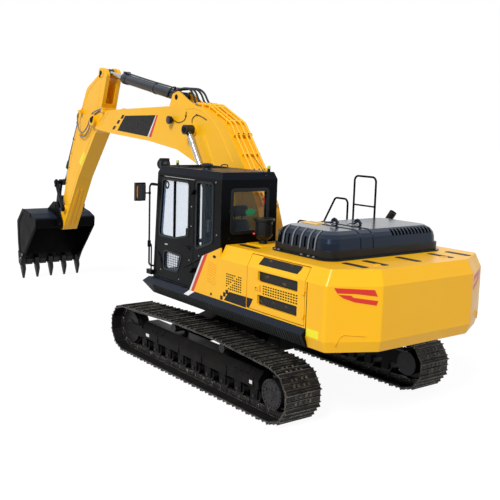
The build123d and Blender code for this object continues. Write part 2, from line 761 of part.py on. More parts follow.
def exhaust():
    """Exhaust tail pipe on the right of the hood, bent outward at its mouth."""
    x, y = -1230, -OUTER_ROW_Y - 60
    route = ((x, y, BODY_TOP_Z), (x, y, 2470), (x - 100, y - 40, 2650))
    return tube_run(route, EXHAUST_RADIUS, 90) + post(x, y, 75, BODY_TOP_Z, 2300) - tube_run(
        ((x, y, 2400), *route[1:]), EXHAUST_RADIUS - 8, 90
    )


def cab_profile(inset):
    """Side view of the cab, drawn in by an inset."""
    lean = (CAB_FRONT_X - CAB_FRONT_TOP_X) / (CAB_SHOULDER_Z - DECK_HIGH_Z)
    low = DECK_HIGH_Z + inset
    return [
        (CAB_REAR_X + inset, low, 0),
        (CAB_REAR_X + inset, CAB_SHOULDER_Z, 0),
        (CAB_REAR_X + CAB_BEVEL + inset, CAB_TOP_Z - inset, 0),
        (CAB_FRONT_TOP_X - CAB_BEVEL - inset, CAB_TOP_Z - inset, 0),
        (CAB_FRONT_TOP_X - inset, CAB_SHOULDER_Z, 0),
        (CAB_FRONT_X - inset - lean * inset, low, 0),
    ]


def cab_end(inset):
    """End view of the cab, drawn in by an inset."""
    y0 = CAB_RIGHT_Y + inset
    y1 = CAB_LEFT_Y - inset
    low = DECK_HIGH_Z - 5 + inset
    high = CAB_TOP_Z + 5 - inset
    bevel = CAB_BEVEL
    left = [(y0, low), (y1, low), (y1, CAB_SHOULDER_Z)]
    return left + [(y1 - bevel, high), (y0 + bevel, high), (y0, CAB_SHOULDER_Z)]


def cab_form(inset):
    """The cab's outer form, or its hollow when drawn in."""
    side = plate(cab_profile(inset), CAB_RIGHT_Y + inset, CAB_LEFT_Y - inset)
    return side & rib(cab_end(inset), CAB_REAR_X - 50, CAB_FRONT_X + 50)


def front_x(z):
    """X of the cab's leaning front face at height z."""
    share = (z - DECK_HIGH_Z) / (CAB_SHOULDER_Z - DECK_HIGH_Z)
    return CAB_FRONT_X - share * (CAB_FRONT_X - CAB_FRONT_TOP_X)


def door_outline(grow):
    """Side view of the cab door, grown by a gap."""
    low = DOOR_LOW_Z - grow
    high = DOOR_HIGH_Z + grow
    return [
        (DOOR_REAR_X - grow, low, 0),
        (front_x(low) - A_PILLAR + grow, low, 0),
        (front_x(high) - A_PILLAR + grow, high, 0),
        (DOOR_REAR_X - grow, high, 0),
    ]


SIDE_WINDOWS = (
    # name, wall, corners (x, z, radius)
    ("door_upper", "door", ((1050, 2160, 60), (951, 3045, 60), (205, 3045, 60), (215, 2250, 60), (600, 2165, 60))),
    ("door_lower", "door", ((900, 1640, 50), (890, 1920, 50), (390, 1900, 50), (500, 1650, 50))),
    ("rear_side", "left", ((-20, 2085, 50), (-20, 3070, 50), (-430, 3070, 50), (-435, 2240, 50))),
    ("right_upper", "right", ((1080, 1900, 60), (1000, 3030, 60), (-500, 3030, 60), (-500, 1900, 60))),
)


def window_prism(corners, wall, half):
    """A prism through a side wall of the cab for one window."""
    y = CAB_RIGHT_Y + CAB_WALL / 2 if wall == "right" else CAB_LEFT_Y - CAB_WALL / 2
    return plate(corners, y - half, y + half)


def lean_prism(z0, z1, y0, y1, back, front):
    """A prism through the leaning front wall between two heights."""
    corners = [
        (front_x(z0) + back, z0, 0),
        (front_x(z0) + front, z0, 0),
        (front_x(z1) + front, z1, 0),
        (front_x(z1) + back, z1, 0),
    ]
    return plate(corners, y0, y1)


FRONT_WINDOWS = (
    # low z, high z
    (1560, 1960),
    (2010, 3090),
)
REAR_WINDOW = (660, 1270, 2400, 2980)
ROOF_WINDOW = (430, 980, 640, 1300)


def cab_shell():
    """Pressed cab with thick pillars, floor and roof, cut for its door and windows."""
    shell = cab_form(0) - cab_form(CAB_WALL)
    shell -= plate(door_outline(CAB_DOOR_GAP), CAB_LEFT_Y - CAB_WALL - 20, CAB_LEFT_Y + 20)
    for name, wall, corners in SIDE_WINDOWS:
        if wall != "door":
            shell -= window_prism(corners, wall, CAB_WALL)
    y0 = CAB_RIGHT_Y + 80
    y1 = CAB_LEFT_Y - 80
    for z0, z1 in FRONT_WINDOWS:
        shell -= lean_prism(z0, z1, y0, y1, -120, 60)
    ry0, ry1, rz0, rz1 = REAR_WINDOW
    shell -= block(CAB_REAR_X - 50, CAB_REAR_X + CAB_WALL + 50, ry0, ry1, rz0, rz1)
    tx0, tx1, ty0, ty1 = ROOF_WINDOW
    shell -= block(tx0, tx1, ty0, ty1, CAB_TOP_Z - 150, CAB_TOP_Z + 50)
    hx, hy = CAB_HINGE
    for z in CAB_HINGE_LEVELS:
        low = z + HINGE_LEAF + PIN_GAP
        shell += block(hx - 45, hx - 15, CAB_LEFT_Y - 1, hy + 12, low, low + HINGE_LEAF)
        shell += block(hx - 45, hx, hy - 12, hy + 12, low, low + HINGE_LEAF)
        shell += post(hx, hy, 14, low, low + HINGE_LEAF)
    return shell


def cab_glazing():
    """Fixed panes of the cab, each in the middle of its wall."""
    y0 = CAB_RIGHT_Y + 80
    y1 = CAB_LEFT_Y - 80
    panes = None
    for z0, z1 in FRONT_WINDOWS:
        pane = lean_prism(z0, z1, y0, y1, -GLASS_SEAT - GLASS, -GLASS_SEAT)
        panes = pane if panes is None else panes + pane
    for name, wall, corners in SIDE_WINDOWS:
        if wall != "door":
            panes += window_prism(corners, wall, GLASS / 2)
    ry0, ry1, rz0, rz1 = REAR_WINDOW
    x = CAB_REAR_X + CAB_WALL / 2
    panes += block(x - GLASS / 2, x + GLASS / 2, ry0, ry1, rz0, rz1)
    tx0, tx1, ty0, ty1 = ROOF_WINDOW
    z = CAB_TOP_Z - CAB_WALL / 2
    return panes + block(tx0, tx1, ty0, ty1, z - GLASS / 2, z + GLASS / 2)


def cab_door():
    """Cab door with its two window openings and its hinge leaves."""
    y0 = CAB_LEFT_Y - CAB_WALL
    door = plate(door_outline(0), y0, CAB_LEFT_Y)
    for name, wall, corners in SIDE_WINDOWS:
        if wall == "door":
            door -= window_prism(corners, wall, CAB_WALL)
    hx, hy = CAB_HINGE
    for z in CAB_HINGE_LEVELS:
        door += block(hx + 17, hx + 47, CAB_LEFT_Y - 1, hy + 12, z, z + HINGE_LEAF)
        door += block(hx, hx + 47, hy - 12, hy + 12, z, z + HINGE_LEAF) + post(hx, hy, 14, z, z + HINGE_LEAF)
    return door


def cab_door_glass():
    """The two panes of the cab door."""
    panes = None
    for name, wall, corners in SIDE_WINDOWS:
        if wall == "door":
            pane = window_prism(corners, wall, GLASS / 2)
            panes = pane if panes is None else panes + pane
    return panes


def cab_seat():
    """Driver's seat on its box."""
    floor = DECK_HIGH_Z + CAB_WALL
    middle = (CAB_RIGHT_Y + CAB_LEFT_Y) / 2
    half = seat_half()
    seat = block(-330, 230, middle - half + 20, middle + half - 20, floor, floor + 330)
    seat += block(-360, 260, middle - half, middle + half, floor + 325, floor + 460)
    back = [(-380, floor + 440, 0), (-250, floor + 440, 0), (-330, floor + 1080, 40), (-460, floor + 1080, 40)]
    seat += plate(back, middle - half + 10, middle + half - 10)
    rest = [(-345, floor + 1070, 0), (-455, floor + 1070, 0), (-470, floor + 1270, 30), (-370, floor + 1270, 30)]
    return seat + plate(rest, middle - half * 0.56, middle + half * 0.56)


def console_reach():
    """Distance of a console's outer face from the cab's middle."""
    return (CAB_LEFT_Y - CAB_RIGHT_Y) / 2 - CAB_WALL - CONSOLE_CLEARANCE


def seat_half():
    """Half the seat's width, between the consoles."""
    return console_reach() - CONSOLE_WIDTH - CONSOLE_CLEARANCE


def cab_controls():
    """Consoles with joysticks, travel pedals, front column and monitor."""
    floor = DECK_HIGH_Z + CAB_WALL
    middle = (CAB_RIGHT_Y + CAB_LEFT_Y) / 2
    kit = None
    for side in (-1, 1):
        y = middle + side * (console_reach() - CONSOLE_WIDTH / 2)
        console = block(-250, 380, y - CONSOLE_WIDTH / 2, y + CONSOLE_WIDTH / 2, floor, floor + 600)
        console += post(300, y, 14, floor + 595, floor + 780) + post(300, y, 30, floor + 760, floor + 880)
        kit = console if kit is None else kit + console
    for side in (-1, 1):
        y = middle + side * 90
        kit += post(820, y, 14, floor, floor + 650) + block(740, 920, y - 45, y + 45, floor, floor + 60)
    monitor_y = CAB_RIGHT_Y + CAB_WALL
    kit += block(700, 760, monitor_y, monitor_y + 240, floor + 700, floor + 900)
    kit += post(730, monitor_y + 60, 18, floor, floor + 701)
    return kit


def roof_lamps():
    """Work lamp on the front of the roof, round aerial dome and two small marker lamps."""
    lamps = block(980, 1180, 1300, 1360, CAB_TOP_Z, CAB_TOP_Z + 12)
    lamps += tube_run(((1130, 1330, CAB_TOP_Z + 20), (1230, 1330, CAB_TOP_Z + 20)), 85, 0)
    lamps += Pos(60, 1250, CAB_TOP_Z) * Cone(75, 50, 70, align=(Align.CENTER, Align.CENTER, Align.MIN))
    lamps += post(1010, 1180, 22, CAB_TOP_Z, CAB_TOP_Z + 80) + post(-560, 560, 22, CAB_TOP_Z, CAB_TOP_Z + 80)
    return lamps


def tank():
    """Fuel and hydraulic tank on the right of the boom, chamfered as the bodywork is."""
    y0 = -BODY_HALF_Y
    y1 = -500
    top = BODY_TOP_Z
    section = [(y0, DECK_HIGH_Z), (y1, DECK_HIGH_Z), (y1, top), (y0 + TOP_INSET, top), (y0, SHOULDER_Z)]
    return rib(section, BODY_FRONT_X, 330)


def tool_box():
    """Tool box with two steps at the right front."""
    y0 = -BODY_HALF_Y + 30
    y1 = -560
    box = block(330, 900, y0, y1, DECK_HIGH_Z, 1980)
    return box + block(899, 1080, y0, y1, DECK_HIGH_Z, 1700)


RAILS = (
    # side views (x, z) of the three rails: the tall one, the short one and the front one
    ((-1020, BODY_TOP_Z), (-1020, 3170), (-540, 3170), (-540, BODY_TOP_Z)),
    ((-400, BODY_TOP_Z), (-400, 2770), (-100, 2770), (230, BODY_TOP_Z)),
    ((400, 1980), (400, 2280), (850, 2280), (850, 1980)),
)


def handrails():
    """Bent-tube handrails on the right-hand tank and tool box."""
    rails = None
    for bends in RAILS:
        rail = tube_run([(x, -OUTER_ROW_Y, z) for x, z in bends], 17, 80)
        rails = rail if rails is None else rails + rail
    rails += tube_run(((-1020, -OUTER_ROW_Y, 2700), (-540, -OUTER_ROW_Y, 2700)), 14, 0)
    return rails - block(-450, 330, -OUTER_ROW_Y - 150, -OUTER_ROW_Y + 150, BODY_TOP_Z - 100, BODY_TOP_Z)


def mirror_left():
    """Grab rail in front of the cab's left corner, with the left mirror on it."""
    x, y = 1330, STAY_Y
    near = CAB_LEFT_Y - 32
    stay = tube_run(((1190, near, 1620), (x, y, 1620), (x, y, 2940), (1090, near, 2940)), 15, 50)
    stay += tube_run(((x, y, 2800), (x, MIRROR_Y + 5, 2800)), 12, 0)
    return stay - cab_form(0) + block(x - 25, x + 25, MIRROR_Y, MIRROR_Y + 180, 2680, 2970)


BOOM_BACK = (
    # x, z, corner radius along the boom's back, from its foot up
    (130, 2640, 900),
    (500, 3236, 0),
    (1060, 3920, 500),
    (1700, 4210, 700),
    (2350, 4250, 0),
)
PIPE_YS = (-150, -60, 55, 145)
PIPE_RADIUS = 20
PIPE_RISE = 48
PIPE_END = 330
PIPE_BEND = 150
FITTING_RADIUS = 27
FITTING_LENGTH = 70
CLAMP_HALF = 18
CLAMP_SHARES = (
    # which stretch of the back, and how far along it
    (0, 0.35),
    (1, 0.30),
    (2, 0.10),
    (2, 0.90),
)


def boom_pipes(boom_shape):
    """Steel oil pipes up the boom's back, with end fittings and the clamps that hold them."""
    back = [corner[:2] for corner in BOOM_BACK]
    slopes = [math.atan2(b[1] - a[1], b[0] - a[0]) for a, b in zip(back, back[1:])]
    route = []
    for i, (x, z) in enumerate(back):
        before = slopes[max(i - 1, 0)]
        after = slopes[min(i, len(slopes) - 1)]
        lean = (before + after) / 2 + math.pi / 2
        rise = PIPE_RISE / math.cos((after - before) / 2)
        route.append((x + rise * math.cos(lean), z + rise * math.sin(lean)))
    x, z = route[-1]
    route[-1] = (x - PIPE_END * math.cos(slopes[-1]), z - PIPE_END * math.sin(slopes[-1]))
    pipes = None
    for y in PIPE_YS:
        pipe = tube_run([(px, y, pz) for px, pz in route], PIPE_RADIUS, PIPE_BEND)
        for (ex, ez), slope, way in ((route[-1], slopes[-1], -1), (route[0], slopes[0], 1)):
            end = (ex, ez)
            near, far = sorted((0, way * FITTING_LENGTH))
            pipe += bar(end, math.degrees(slope), near, far, FITTING_RADIUS, y)
        pipes = pipe if pipes is None else pipes + pipe
    for run, share in CLAMP_SHARES:
        (x0, z0), (x1, z1) = back[run], back[run + 1]
        place = (x0 + share * (x1 - x0), z0 + share * (z1 - z0))
        slope = math.degrees(slopes[run])
        y0, y1 = PIPE_YS[0] - 30, PIPE_YS[-1] + 30
        pipes += bar_block(place, slope, -CLAMP_HALF, CLAMP_HALF, -40, PIPE_RISE + 8, y0, y1) - boom_shape
    return pipes


def boom():
    """Boom: bent box with foot tube, forked nose, cylinder ears and pin bosses."""
    fx, fz = BOOM_FOOT
    nx, nz = BOOM_NOSE
    outline = [
        (nx + 130, nz + 165, 120),
        (nx + 180, nz - 60, 110),
        (nx - 70, nz - 190, 80),
        (5210, 3680, 0),
        (3630, 3575, 0),
        (2590, 3450, 500),
        (1950, 3240, 400),
        (1150, 2540, 900),
        (fx + 260, fz - 130, 0),
        (fx + 30, fz - 150, 110),
        (fx - 160, fz + 20, 110),
        *BOOM_BACK,
        (5010, 4165, 0),
    ]
    body = plate(outline, -BOOM_HALF, BOOM_HALF)
    body += pin(BOOM_FOOT, 150, -BOOM_FOOT_HALF, BOOM_FOOT_HALF)
    slot = BOOM_HALF - NOSE_PLATE
    body -= pin(BOOM_NOSE, NOSE_SLOT_R, -slot, slot)
    body += pin(BOOM_NOSE, PIN_RADIUS, -300, 300)
    body += both(pin(BOOM_NOSE, 120, slot, 290))
    qx, qz = ARM_CYL_FOOT
    ear = [
        (qx + 260, qz - 200, 0),
        (qx + 130, qz + 60, 70),
        (qx - 60, qz + 110, 70),
        (qx - 460, qz - 90, 0),
        (qx - 800, qz - 190, 0),
        (qx - 700, qz - 400, 0),
        (qx + 260, qz - 400, 0),
    ]
    body += both(plate(ear, 112, 148))
    body += pin(ARM_CYL_FOOT, 45, -148, 148)
    body += both(pin(BOOM_CYL_PIN, 110, BOOM_HALF - 5, BOOM_HALF + 24))
    return body - pin(BOOM_FOOT, PIN_RADIUS + PIN_GAP, -BOOM_FOOT_HALF - 5, BOOM_FOOT_HALF + 5)


def arm():
    """Arm: tapering box with the cylinder clevis on top and the bucket boss at its tip."""
    mx, mz = ARM_CYL_PIN
    ax, az = BUCKET_PIN
    bx, bz = BUCKET_CYL_FOOT
    px, pz = BOOM_NOSE
    outline = [
        (mx - 130, mz + 105, 80),
        (mx + 170, mz - 60, 0),
        (mx + 690, mz - 310, 150),
        (mx + 900, mz - 640, 0),
        (7050, 3605, 0),
        (7310, 3125, 0),
        (7790, 1850, 0),
        (ax + 145, az + 60, 60),
        (ax + 70, az - 125, 60),
        (ax - 80, az - 110, 60),
        (6880, 2643, 0),
        (px + 40, pz - 270, 100),
        (px - 230, pz - 130, 120),
        (px - 240, pz + 270, 0),
        (mx - 260, mz - 40, 70),
    ]
    body = plate(outline, -ARM_HALF, ARM_HALF)
    channel = [
        (mx - 500, mz + 300, 0),
        (mx + 310, mz + 300, 0),
        (mx + 310, mz - 200, 0),
        (mx + 150, mz - 640, 0),
        (mx - 500, mz - 640, 0),
    ]
    body -= plate(channel, -95, 95)
    body += both(pin(ARM_CYL_PIN, 105, 95, ARM_HALF + 12))
    ear = [
        (bx - 480, bz + 320, 0),
        (bx - 40, bz + 90, 60),
        (bx + 90, bz, 60),
        (bx, bz - 110, 60),
        (bx - 260, bz - 300, 0),
        (bx - 420, bz, 0),
    ]
    body += both(plate(ear, 72, 104))
    body += pin(BUCKET_CYL_FOOT, 38, -104, 104)
    body += both(pin(ROCKER_PIN, 75, ARM_HALF - 5, ROCKER_Y - 5))
    body += pin(ROCKER_PIN, 38, -ROCKER_Y - 44, ROCKER_Y + 44)
    body -= pin(BOOM_NOSE, PIN_RADIUS + PIN_GAP, -ARM_HALF - 5, ARM_HALF + 5)
    return body - pin(BUCKET_PIN, 48 + PIN_GAP, -ARM_HALF - 5, ARM_HALF + 5)


BUCKET_OUTLINE = (
    # x, z, corner radius, from the mouth's upper edge over the back to the lip
    (7985, 1375, 0),
    (7960, 1600, 70),
    (8250, 1700, 0),
    (8760, 1790, 280),
    (9120, 1450, 330),
    (9080, 900, 500),
    (8985, 400, 0),
    (8915, 380, 0),
)


BUCKET_WALL_STEPS = (
    # how many wall thicknesses each corner moves inward, along x and z
    (1, 1),
    (1, -1),
    (0, -1),
    (-0.3, -1),
    (-1, -0.4),
    (-1, 0),
    (-1, 0),
)


def bucket():
    """Bucket: curved shell between two side plates, with its two ears and hinge pin."""
    shell = plate(BUCKET_OUTLINE, -BUCKET_HALF, BUCKET_HALF)
    w = BUCKET_WALL
    hollow = [(7940, 1300, 0)]
    for (x, z, r), (step_x, step_z) in zip(BUCKET_OUTLINE, BUCKET_WALL_STEPS):
        hollow.append((x + step_x * w, z + step_z * w, max(r - w, 0)))
    hollow.append((8800, 300, 0))
    shell -= plate(hollow, -BUCKET_HALF + w, BUCKET_HALF - w)
    ax, az = BUCKET_PIN
    bx, bz = LINK_PIN
    ear = [
        (ax - 100, az - 105, 90),
        (ax - 100, az + 100, 90),
        (bx - 100, bz + 90, 85),
        (bx + 95, bz + 90, 85),
        (8560, 1765, 0),
        (8300, 1690, 0),
        (7990, 1585, 0),
        (7995, 1390, 0),
        (ax + 100, az - 105, 60),
    ]
    shell += both(plate(ear, EAR_Y, EAR_Y + EAR_THICKNESS))
    shell += pin(BUCKET_PIN, 48, -EAR_Y - EAR_THICKNESS - 6, EAR_Y + EAR_THICKNESS + 6)
    cutter = [(8700, 660, 0), (8905, 370, 0), (8995, 400, 0), (9040, 700, 0)]
    return shell + both(plate(cutter, BUCKET_HALF - 2, BUCKET_HALF + 22))


def tooth_front(y):
    """A tooth's form from ahead: full width on its adapter, drawn in to a narrow tip."""
    z = TOOTH_TIP[1]
    taper = TOOTH_TAPER_HEIGHT
    points = [(y - TOOTH_HALF, z + 500), (y - TOOTH_HALF, z + taper), (y - TOOTH_TIP_HALF, z)]
    points += [(y + TOOTH_TIP_HALF, z), (y + TOOTH_HALF, z + taper), (y + TOOTH_HALF, z + 500)]
    return extrude(Plane.YZ.offset(TOOTH_TIP[0] - 200) * make_face(Polyline(points, close=True)), amount=500)


def bucket_teeth(shell):
    """Five teeth on their adapters, cut to sit on the bucket's own lip."""
    teeth = None
    tx, tz = TOOTH_TIP
    rx, rz = TOOTH_ROOT
    outline = [(rx - 62, rz + 60, 0), (rx + 75, rz + 90, 0), (tx + 68, tz + 220, 0)]
    outline += [(tx + 8, tz, 0), (tx - 14, tz, 0)]
    outline += [(tx - 58, tz + 220, 0)]
    for i in range(-2, 3):
        y = i * TOOTH_PITCH
        y = max(-BUCKET_HALF + 50, min(BUCKET_HALF - 50, y))
        tooth = plate(outline, y - TOOTH_HALF, y + TOOTH_HALF) & tooth_front(y)
        teeth = tooth if teeth is None else teeth + tooth
    return teeth - shell


def cylinder_barrel(foot, head, y, eye_r, eye_half, radius, length, bore_r, bore_from, foot_pin_r, port_half):
    """Barrel with a foot eye, an oil port block, a gland ring and a blind bore for its rod."""
    slope = along(foot, head)[1]
    neck = eye_r + 70
    barrel = bar(foot, slope, 0, neck + 5, eye_half * 0.95, y) + bar(foot, slope, neck, length, radius, y)
    barrel += bar(foot, slope, length - 110, length, radius + 14, y)
    barrel += pin(foot, eye_r, y - eye_half, y + eye_half)
    for near in (neck + 10, length - 105):
        barrel += bar_block(foot, slope, near, near + 95, 0, radius + 45, y - port_half, y + port_half)
    barrel -= bar(foot, slope, bore_from, length + 20, bore_r + PIN_GAP, y)
    return barrel - pin(foot, foot_pin_r + PIN_GAP, y - eye_half - 60, y + eye_half + 60)


def cylinder_rod(foot, head, y, eye_r, eye_half, rod_r, inner_end):
    """Rod with its head eye, whose own pin fills it."""
    reach, slope = along(foot, head)
    return bar(foot, slope, inner_end, reach, rod_r, y) + pin(head, eye_r, y - eye_half, y + eye_half)


def rocker():
    """Two rocker plates beside the arm, each with its stub of the upper pin."""
    kx, kz = ROCKER_PIN
    reach, slope = along(ROCKER_PIN, ROD_PIN)
    c = math.cos(math.radians(slope))
    s = math.sin(math.radians(slope))
    r = 68

    def at(distance, across):
        return (kx + c * distance - s * across, kz + s * distance + c * across, r * 0.8)

    outline = [at(-r, -r), at(reach + r, -r), at(reach + r, r), at(-r, r)]
    far = ROCKER_Y + ROCKER_THICKNESS
    side = plate(outline, ROCKER_Y, far) - pin(ROCKER_PIN, 38 + PIN_GAP, ROCKER_Y - 5, far + 5)
    side += pin(ROD_PIN, 45, 100, far + 12)
    return both(side)


def bucket_link():
    """H-shaped link from the rocker's pin to the bucket ears, with its own lower pin."""
    dx, dz = ROD_PIN
    reach, slope = along(ROD_PIN, LINK_PIN)
    c = math.cos(math.radians(slope))
    s = math.sin(math.radians(slope))
    r = 66

    def at(distance, across):
        return (dx + c * distance - s * across, dz + s * distance + c * across, r * 0.8)

    leg = plate([at(-r, -r), at(reach + r, -r), at(reach + r, r), at(-r, r)], 112, 160)
    web = [at(360, -50)[:2] + (0,), at(reach, -50)[:2] + (0,), at(reach, 50)[:2] + (0,), at(360, 50)[:2] + (0,)]
    link = both(leg) + plate(web, -113, 113) + pin(LINK_PIN, 62, -170, 170)
    return link - pin(ROD_PIN, 45 + PIN_GAP, -180, 180)


BOOM_CYL = dict(
    eye_r=85, eye_half=60, radius=88, length=1640, bore_r=52, bore_from=140, foot_pin_r=45, port_half=45
)
BOOM_ROD = dict(eye_r=85, eye_half=85, rod_r=52, inner_end=650)
ARM_CYL = dict(
    eye_r=95, eye_half=92, radius=100, length=2280, bore_r=57, bore_from=140, foot_pin_r=45, port_half=60
)
ARM_ROD = dict(eye_r=88, eye_half=84, rod_r=57, inner_end=690)
BUCKET_CYL = dict(
    eye_r=80, eye_half=66, radius=76, length=1400, bore_r=46, bore_from=90, foot_pin_r=38, port_half=38
)
BUCKET_ROD = dict(eye_r=74, eye_half=84, rod_r=46, inner_end=210)


def main():
    left_track = track()
    save("track_left", left_track)
    save("track_right", mirror(left_track, about=Plane.XZ))
    left_frame = track_frame()
    save("track_frame_left", left_frame)
    save("track_frame_right", mirror(left_frame, about=Plane.XZ))
    save("sprockets", both(sprocket()))
    save("idlers", both(idler()))
    rollers = None
    for x in roller_places():
        pair = both(bottom_roller(x))
        rollers = pair if rollers is None else rollers + pair
    save("bottom_rollers", rollers)
    carriers = None
    for x in carrier_places():
        pair = both(carrier_roller(x))
        carriers = pair if carriers is None else carriers + pair
    save("carrier_rollers", carriers)
    save("centre_frame", centre_frame())
    save("slew_ring", slew_ring())

    save("upper_frame", upper_frame())
    save("side_rails", both(side_rail()))
    save("counterweight", counterweight())
    save("bodywork", bodywork())
    save("left_front_panel", left_front_panel())
    for name, x_front, x_rear, side, edge in SIDE_DOORS:
        save(name, side_door(x_front, x_rear, side, edge))
    save("hood", hood())
    save("engine", engine())
    save("pre_cleaner", pre_cleaner())
    save("exhaust", exhaust())
    save("tank", tank())
    save("tool_box", tool_box())
    save("handrails", handrails())

    save("cab_shell", cab_shell())
    save("cab_glazing", cab_glazing())
    save("cab_door", cab_door())
    save("cab_door_glass", cab_door_glass())
    save("cab_seat", cab_seat())
    save("cab_controls", cab_controls())
    save("roof_lamps", roof_lamps())
    save("mirror_left", mirror_left())

    boom_shape = boom()
    save("boom", boom_shape)
    save("boom_pipes", boom_pipes(boom_shape))
    save("arm", arm())
    shell = bucket()
    save("bucket", shell)
    save("bucket_teeth", bucket_teeth(shell))
    save("rocker", rocker())
    save("bucket_link", bucket_link())

    barrel = cylinder_barrel(BOOM_CYL_FOOT, BOOM_CYL_PIN, BOOM_CYL_Y, **BOOM_CYL)
    save("boom_cylinder_barrels", both(barrel))
    rod = cylinder_rod(BOOM_CYL_FOOT, BOOM_CYL_PIN, BOOM_CYL_Y, **BOOM_ROD)
    save("boom_cylinder_rods", both(rod))
    save("arm_cylinder_barrel", cylinder_barrel(ARM_CYL_FOOT, ARM_CYL_PIN, 0, **ARM_CYL))
    save("arm_cylinder_rod", cylinder_rod(ARM_CYL_FOOT, ARM_CYL_PIN, 0, **ARM_ROD))
    save("bucket_cylinder_barrel", cylinder_barrel(BUCKET_CYL_FOOT, ROD_PIN, 0, **BUCKET_CYL))
    save("bucket_cylinder_rod", cylinder_rod(BUCKET_CYL_FOOT, ROD_PIN, 0, **BUCKET_ROD))


main()
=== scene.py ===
import math

import bmesh
import bpy
import numpy as np
from mathutils import Matrix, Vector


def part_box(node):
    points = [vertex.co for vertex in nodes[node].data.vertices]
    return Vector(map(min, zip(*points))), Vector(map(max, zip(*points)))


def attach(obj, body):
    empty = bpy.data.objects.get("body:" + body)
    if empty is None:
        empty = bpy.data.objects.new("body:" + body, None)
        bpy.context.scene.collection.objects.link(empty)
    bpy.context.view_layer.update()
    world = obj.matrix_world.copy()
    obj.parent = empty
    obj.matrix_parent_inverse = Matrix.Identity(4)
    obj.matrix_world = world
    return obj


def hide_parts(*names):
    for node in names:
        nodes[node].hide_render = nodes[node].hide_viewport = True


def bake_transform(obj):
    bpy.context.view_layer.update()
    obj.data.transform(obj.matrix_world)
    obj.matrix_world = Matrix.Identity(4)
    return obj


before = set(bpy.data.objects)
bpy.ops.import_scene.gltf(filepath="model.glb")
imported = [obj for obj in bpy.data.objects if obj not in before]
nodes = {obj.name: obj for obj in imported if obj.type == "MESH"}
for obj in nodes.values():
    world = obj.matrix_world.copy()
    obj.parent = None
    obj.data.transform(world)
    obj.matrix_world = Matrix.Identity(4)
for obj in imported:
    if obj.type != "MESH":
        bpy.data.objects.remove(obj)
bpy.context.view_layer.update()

# Camera: the photograph's viewing angle, behind and to the left of the machine.
# Its place, turn and focal length were fitted to the machine's own measured points.
PHOTO_SIDE = 500
CAMERA_PLACE = (-9.8228, 7.8846, 3.9171)
CAMERA_YAW, CAMERA_PITCH, CAMERA_ROLL = -0.6592, -0.1428, 0.031
FOCAL_PIXELS = 790.73
CENTRE_U, CENTRE_V = 258.92, 240.02

forward = np.array([
    math.cos(CAMERA_PITCH) * math.cos(CAMERA_YAW),
    math.cos(CAMERA_PITCH) * math.sin(CAMERA_YAW),
    math.sin(CAMERA_PITCH),
])
level = np.cross(forward, (0, 0, 1))
level /= np.linalg.norm(level)
raised = np.cross(level, forward)
rightward = math.cos(CAMERA_ROLL) * level + math.sin(CAMERA_ROLL) * raised
upward = -math.sin(CAMERA_ROLL) * level + math.cos(CAMERA_ROLL) * raised

lens = bpy.data.cameras.new("photo_camera")
lens.sensor_width = 36
lens.lens = FOCAL_PIXELS / PHOTO_SIDE * lens.sensor_width
lens.shift_x = 0.5 - CENTRE_U / PHOTO_SIDE
lens.shift_y = CENTRE_V / PHOTO_SIDE - 0.5
lens.clip_end = 500
camera = bpy.data.objects.new("photo_camera", lens)
bpy.context.scene.collection.objects.link(camera)
stance = np.eye(4)
stance[:3] = np.stack([rightward, upward, -forward, CAMERA_PLACE], axis=1)
camera.matrix_world = Matrix(stance.tolist())
bpy.context.scene.camera = camera
bpy.context.scene.view_settings.view_transform = "Standard"

# Floor and light: a plain pale floor and soft daylight from high on the left.
# The camera, glass and metal see the floor and sky nearly white, and the floor keeps the shadow.
KEY_FROM = (-0.42, 0.72, 0.72)
KEY_STRENGTH = 2.6
KEY_SOFTNESS = 14
SKY_STRENGTH = 0.42
FLOOR_HALF = 150
FLOOR_GREY = 0.5
FLOOR_GLOW_SHARE = 0.8
FLOOR_GLOW = 1.18

key = bpy.data.lights.new("key_light", "SUN")
key.energy = KEY_STRENGTH
key.angle = math.radians(KEY_SOFTNESS)
key_light = bpy.data.objects.new("key_light", key)
bpy.context.scene.collection.objects.link(key_light)
key_back = np.array(KEY_FROM) / np.linalg.norm(KEY_FROM)
key_side = np.cross((0, 0, 1), key_back)
key_side /= np.linalg.norm(key_side)
aim = np.eye(4)
aim[:3, :3] = np.stack([key_side, np.cross(key_back, key_side), key_back], axis=1)
key_light.matrix_world = Matrix(aim.tolist())

world = bpy.data.worlds.new("studio_sky")
world.use_nodes = True
bpy.context.scene.world = world


def seen_directly(tree):
    """1 where a camera, mirror or glass ray looks, 0 for light that falls on the machine."""
    rays = tree.nodes.new("ShaderNodeLightPath")
    either = rays.outputs["Is Camera Ray"]
    for name in ("Is Glossy Ray", "Is Transmission Ray"):
        more = tree.nodes.new("ShaderNodeMath")
        more.operation = "MAXIMUM"
        tree.links.new(either, more.inputs[0])
        tree.links.new(rays.outputs[name], more.inputs[1])
        either = more.outputs[0]
    return either


sky_tree = world.node_tree
sky = sky_tree.nodes["Background"]
sky.inputs["Color"].default_value = (1, 1, 1, 1)
sky_level = sky_tree.nodes.new("ShaderNodeMapRange")
sky_level.inputs["To Min"].default_value = SKY_STRENGTH
sky_level.inputs["To Max"].default_value = 1
sky_tree.links.new(seen_directly(sky_tree), sky_level.inputs["Value"])
sky_tree.links.new(sky_level.outputs[0], sky.inputs["Strength"])

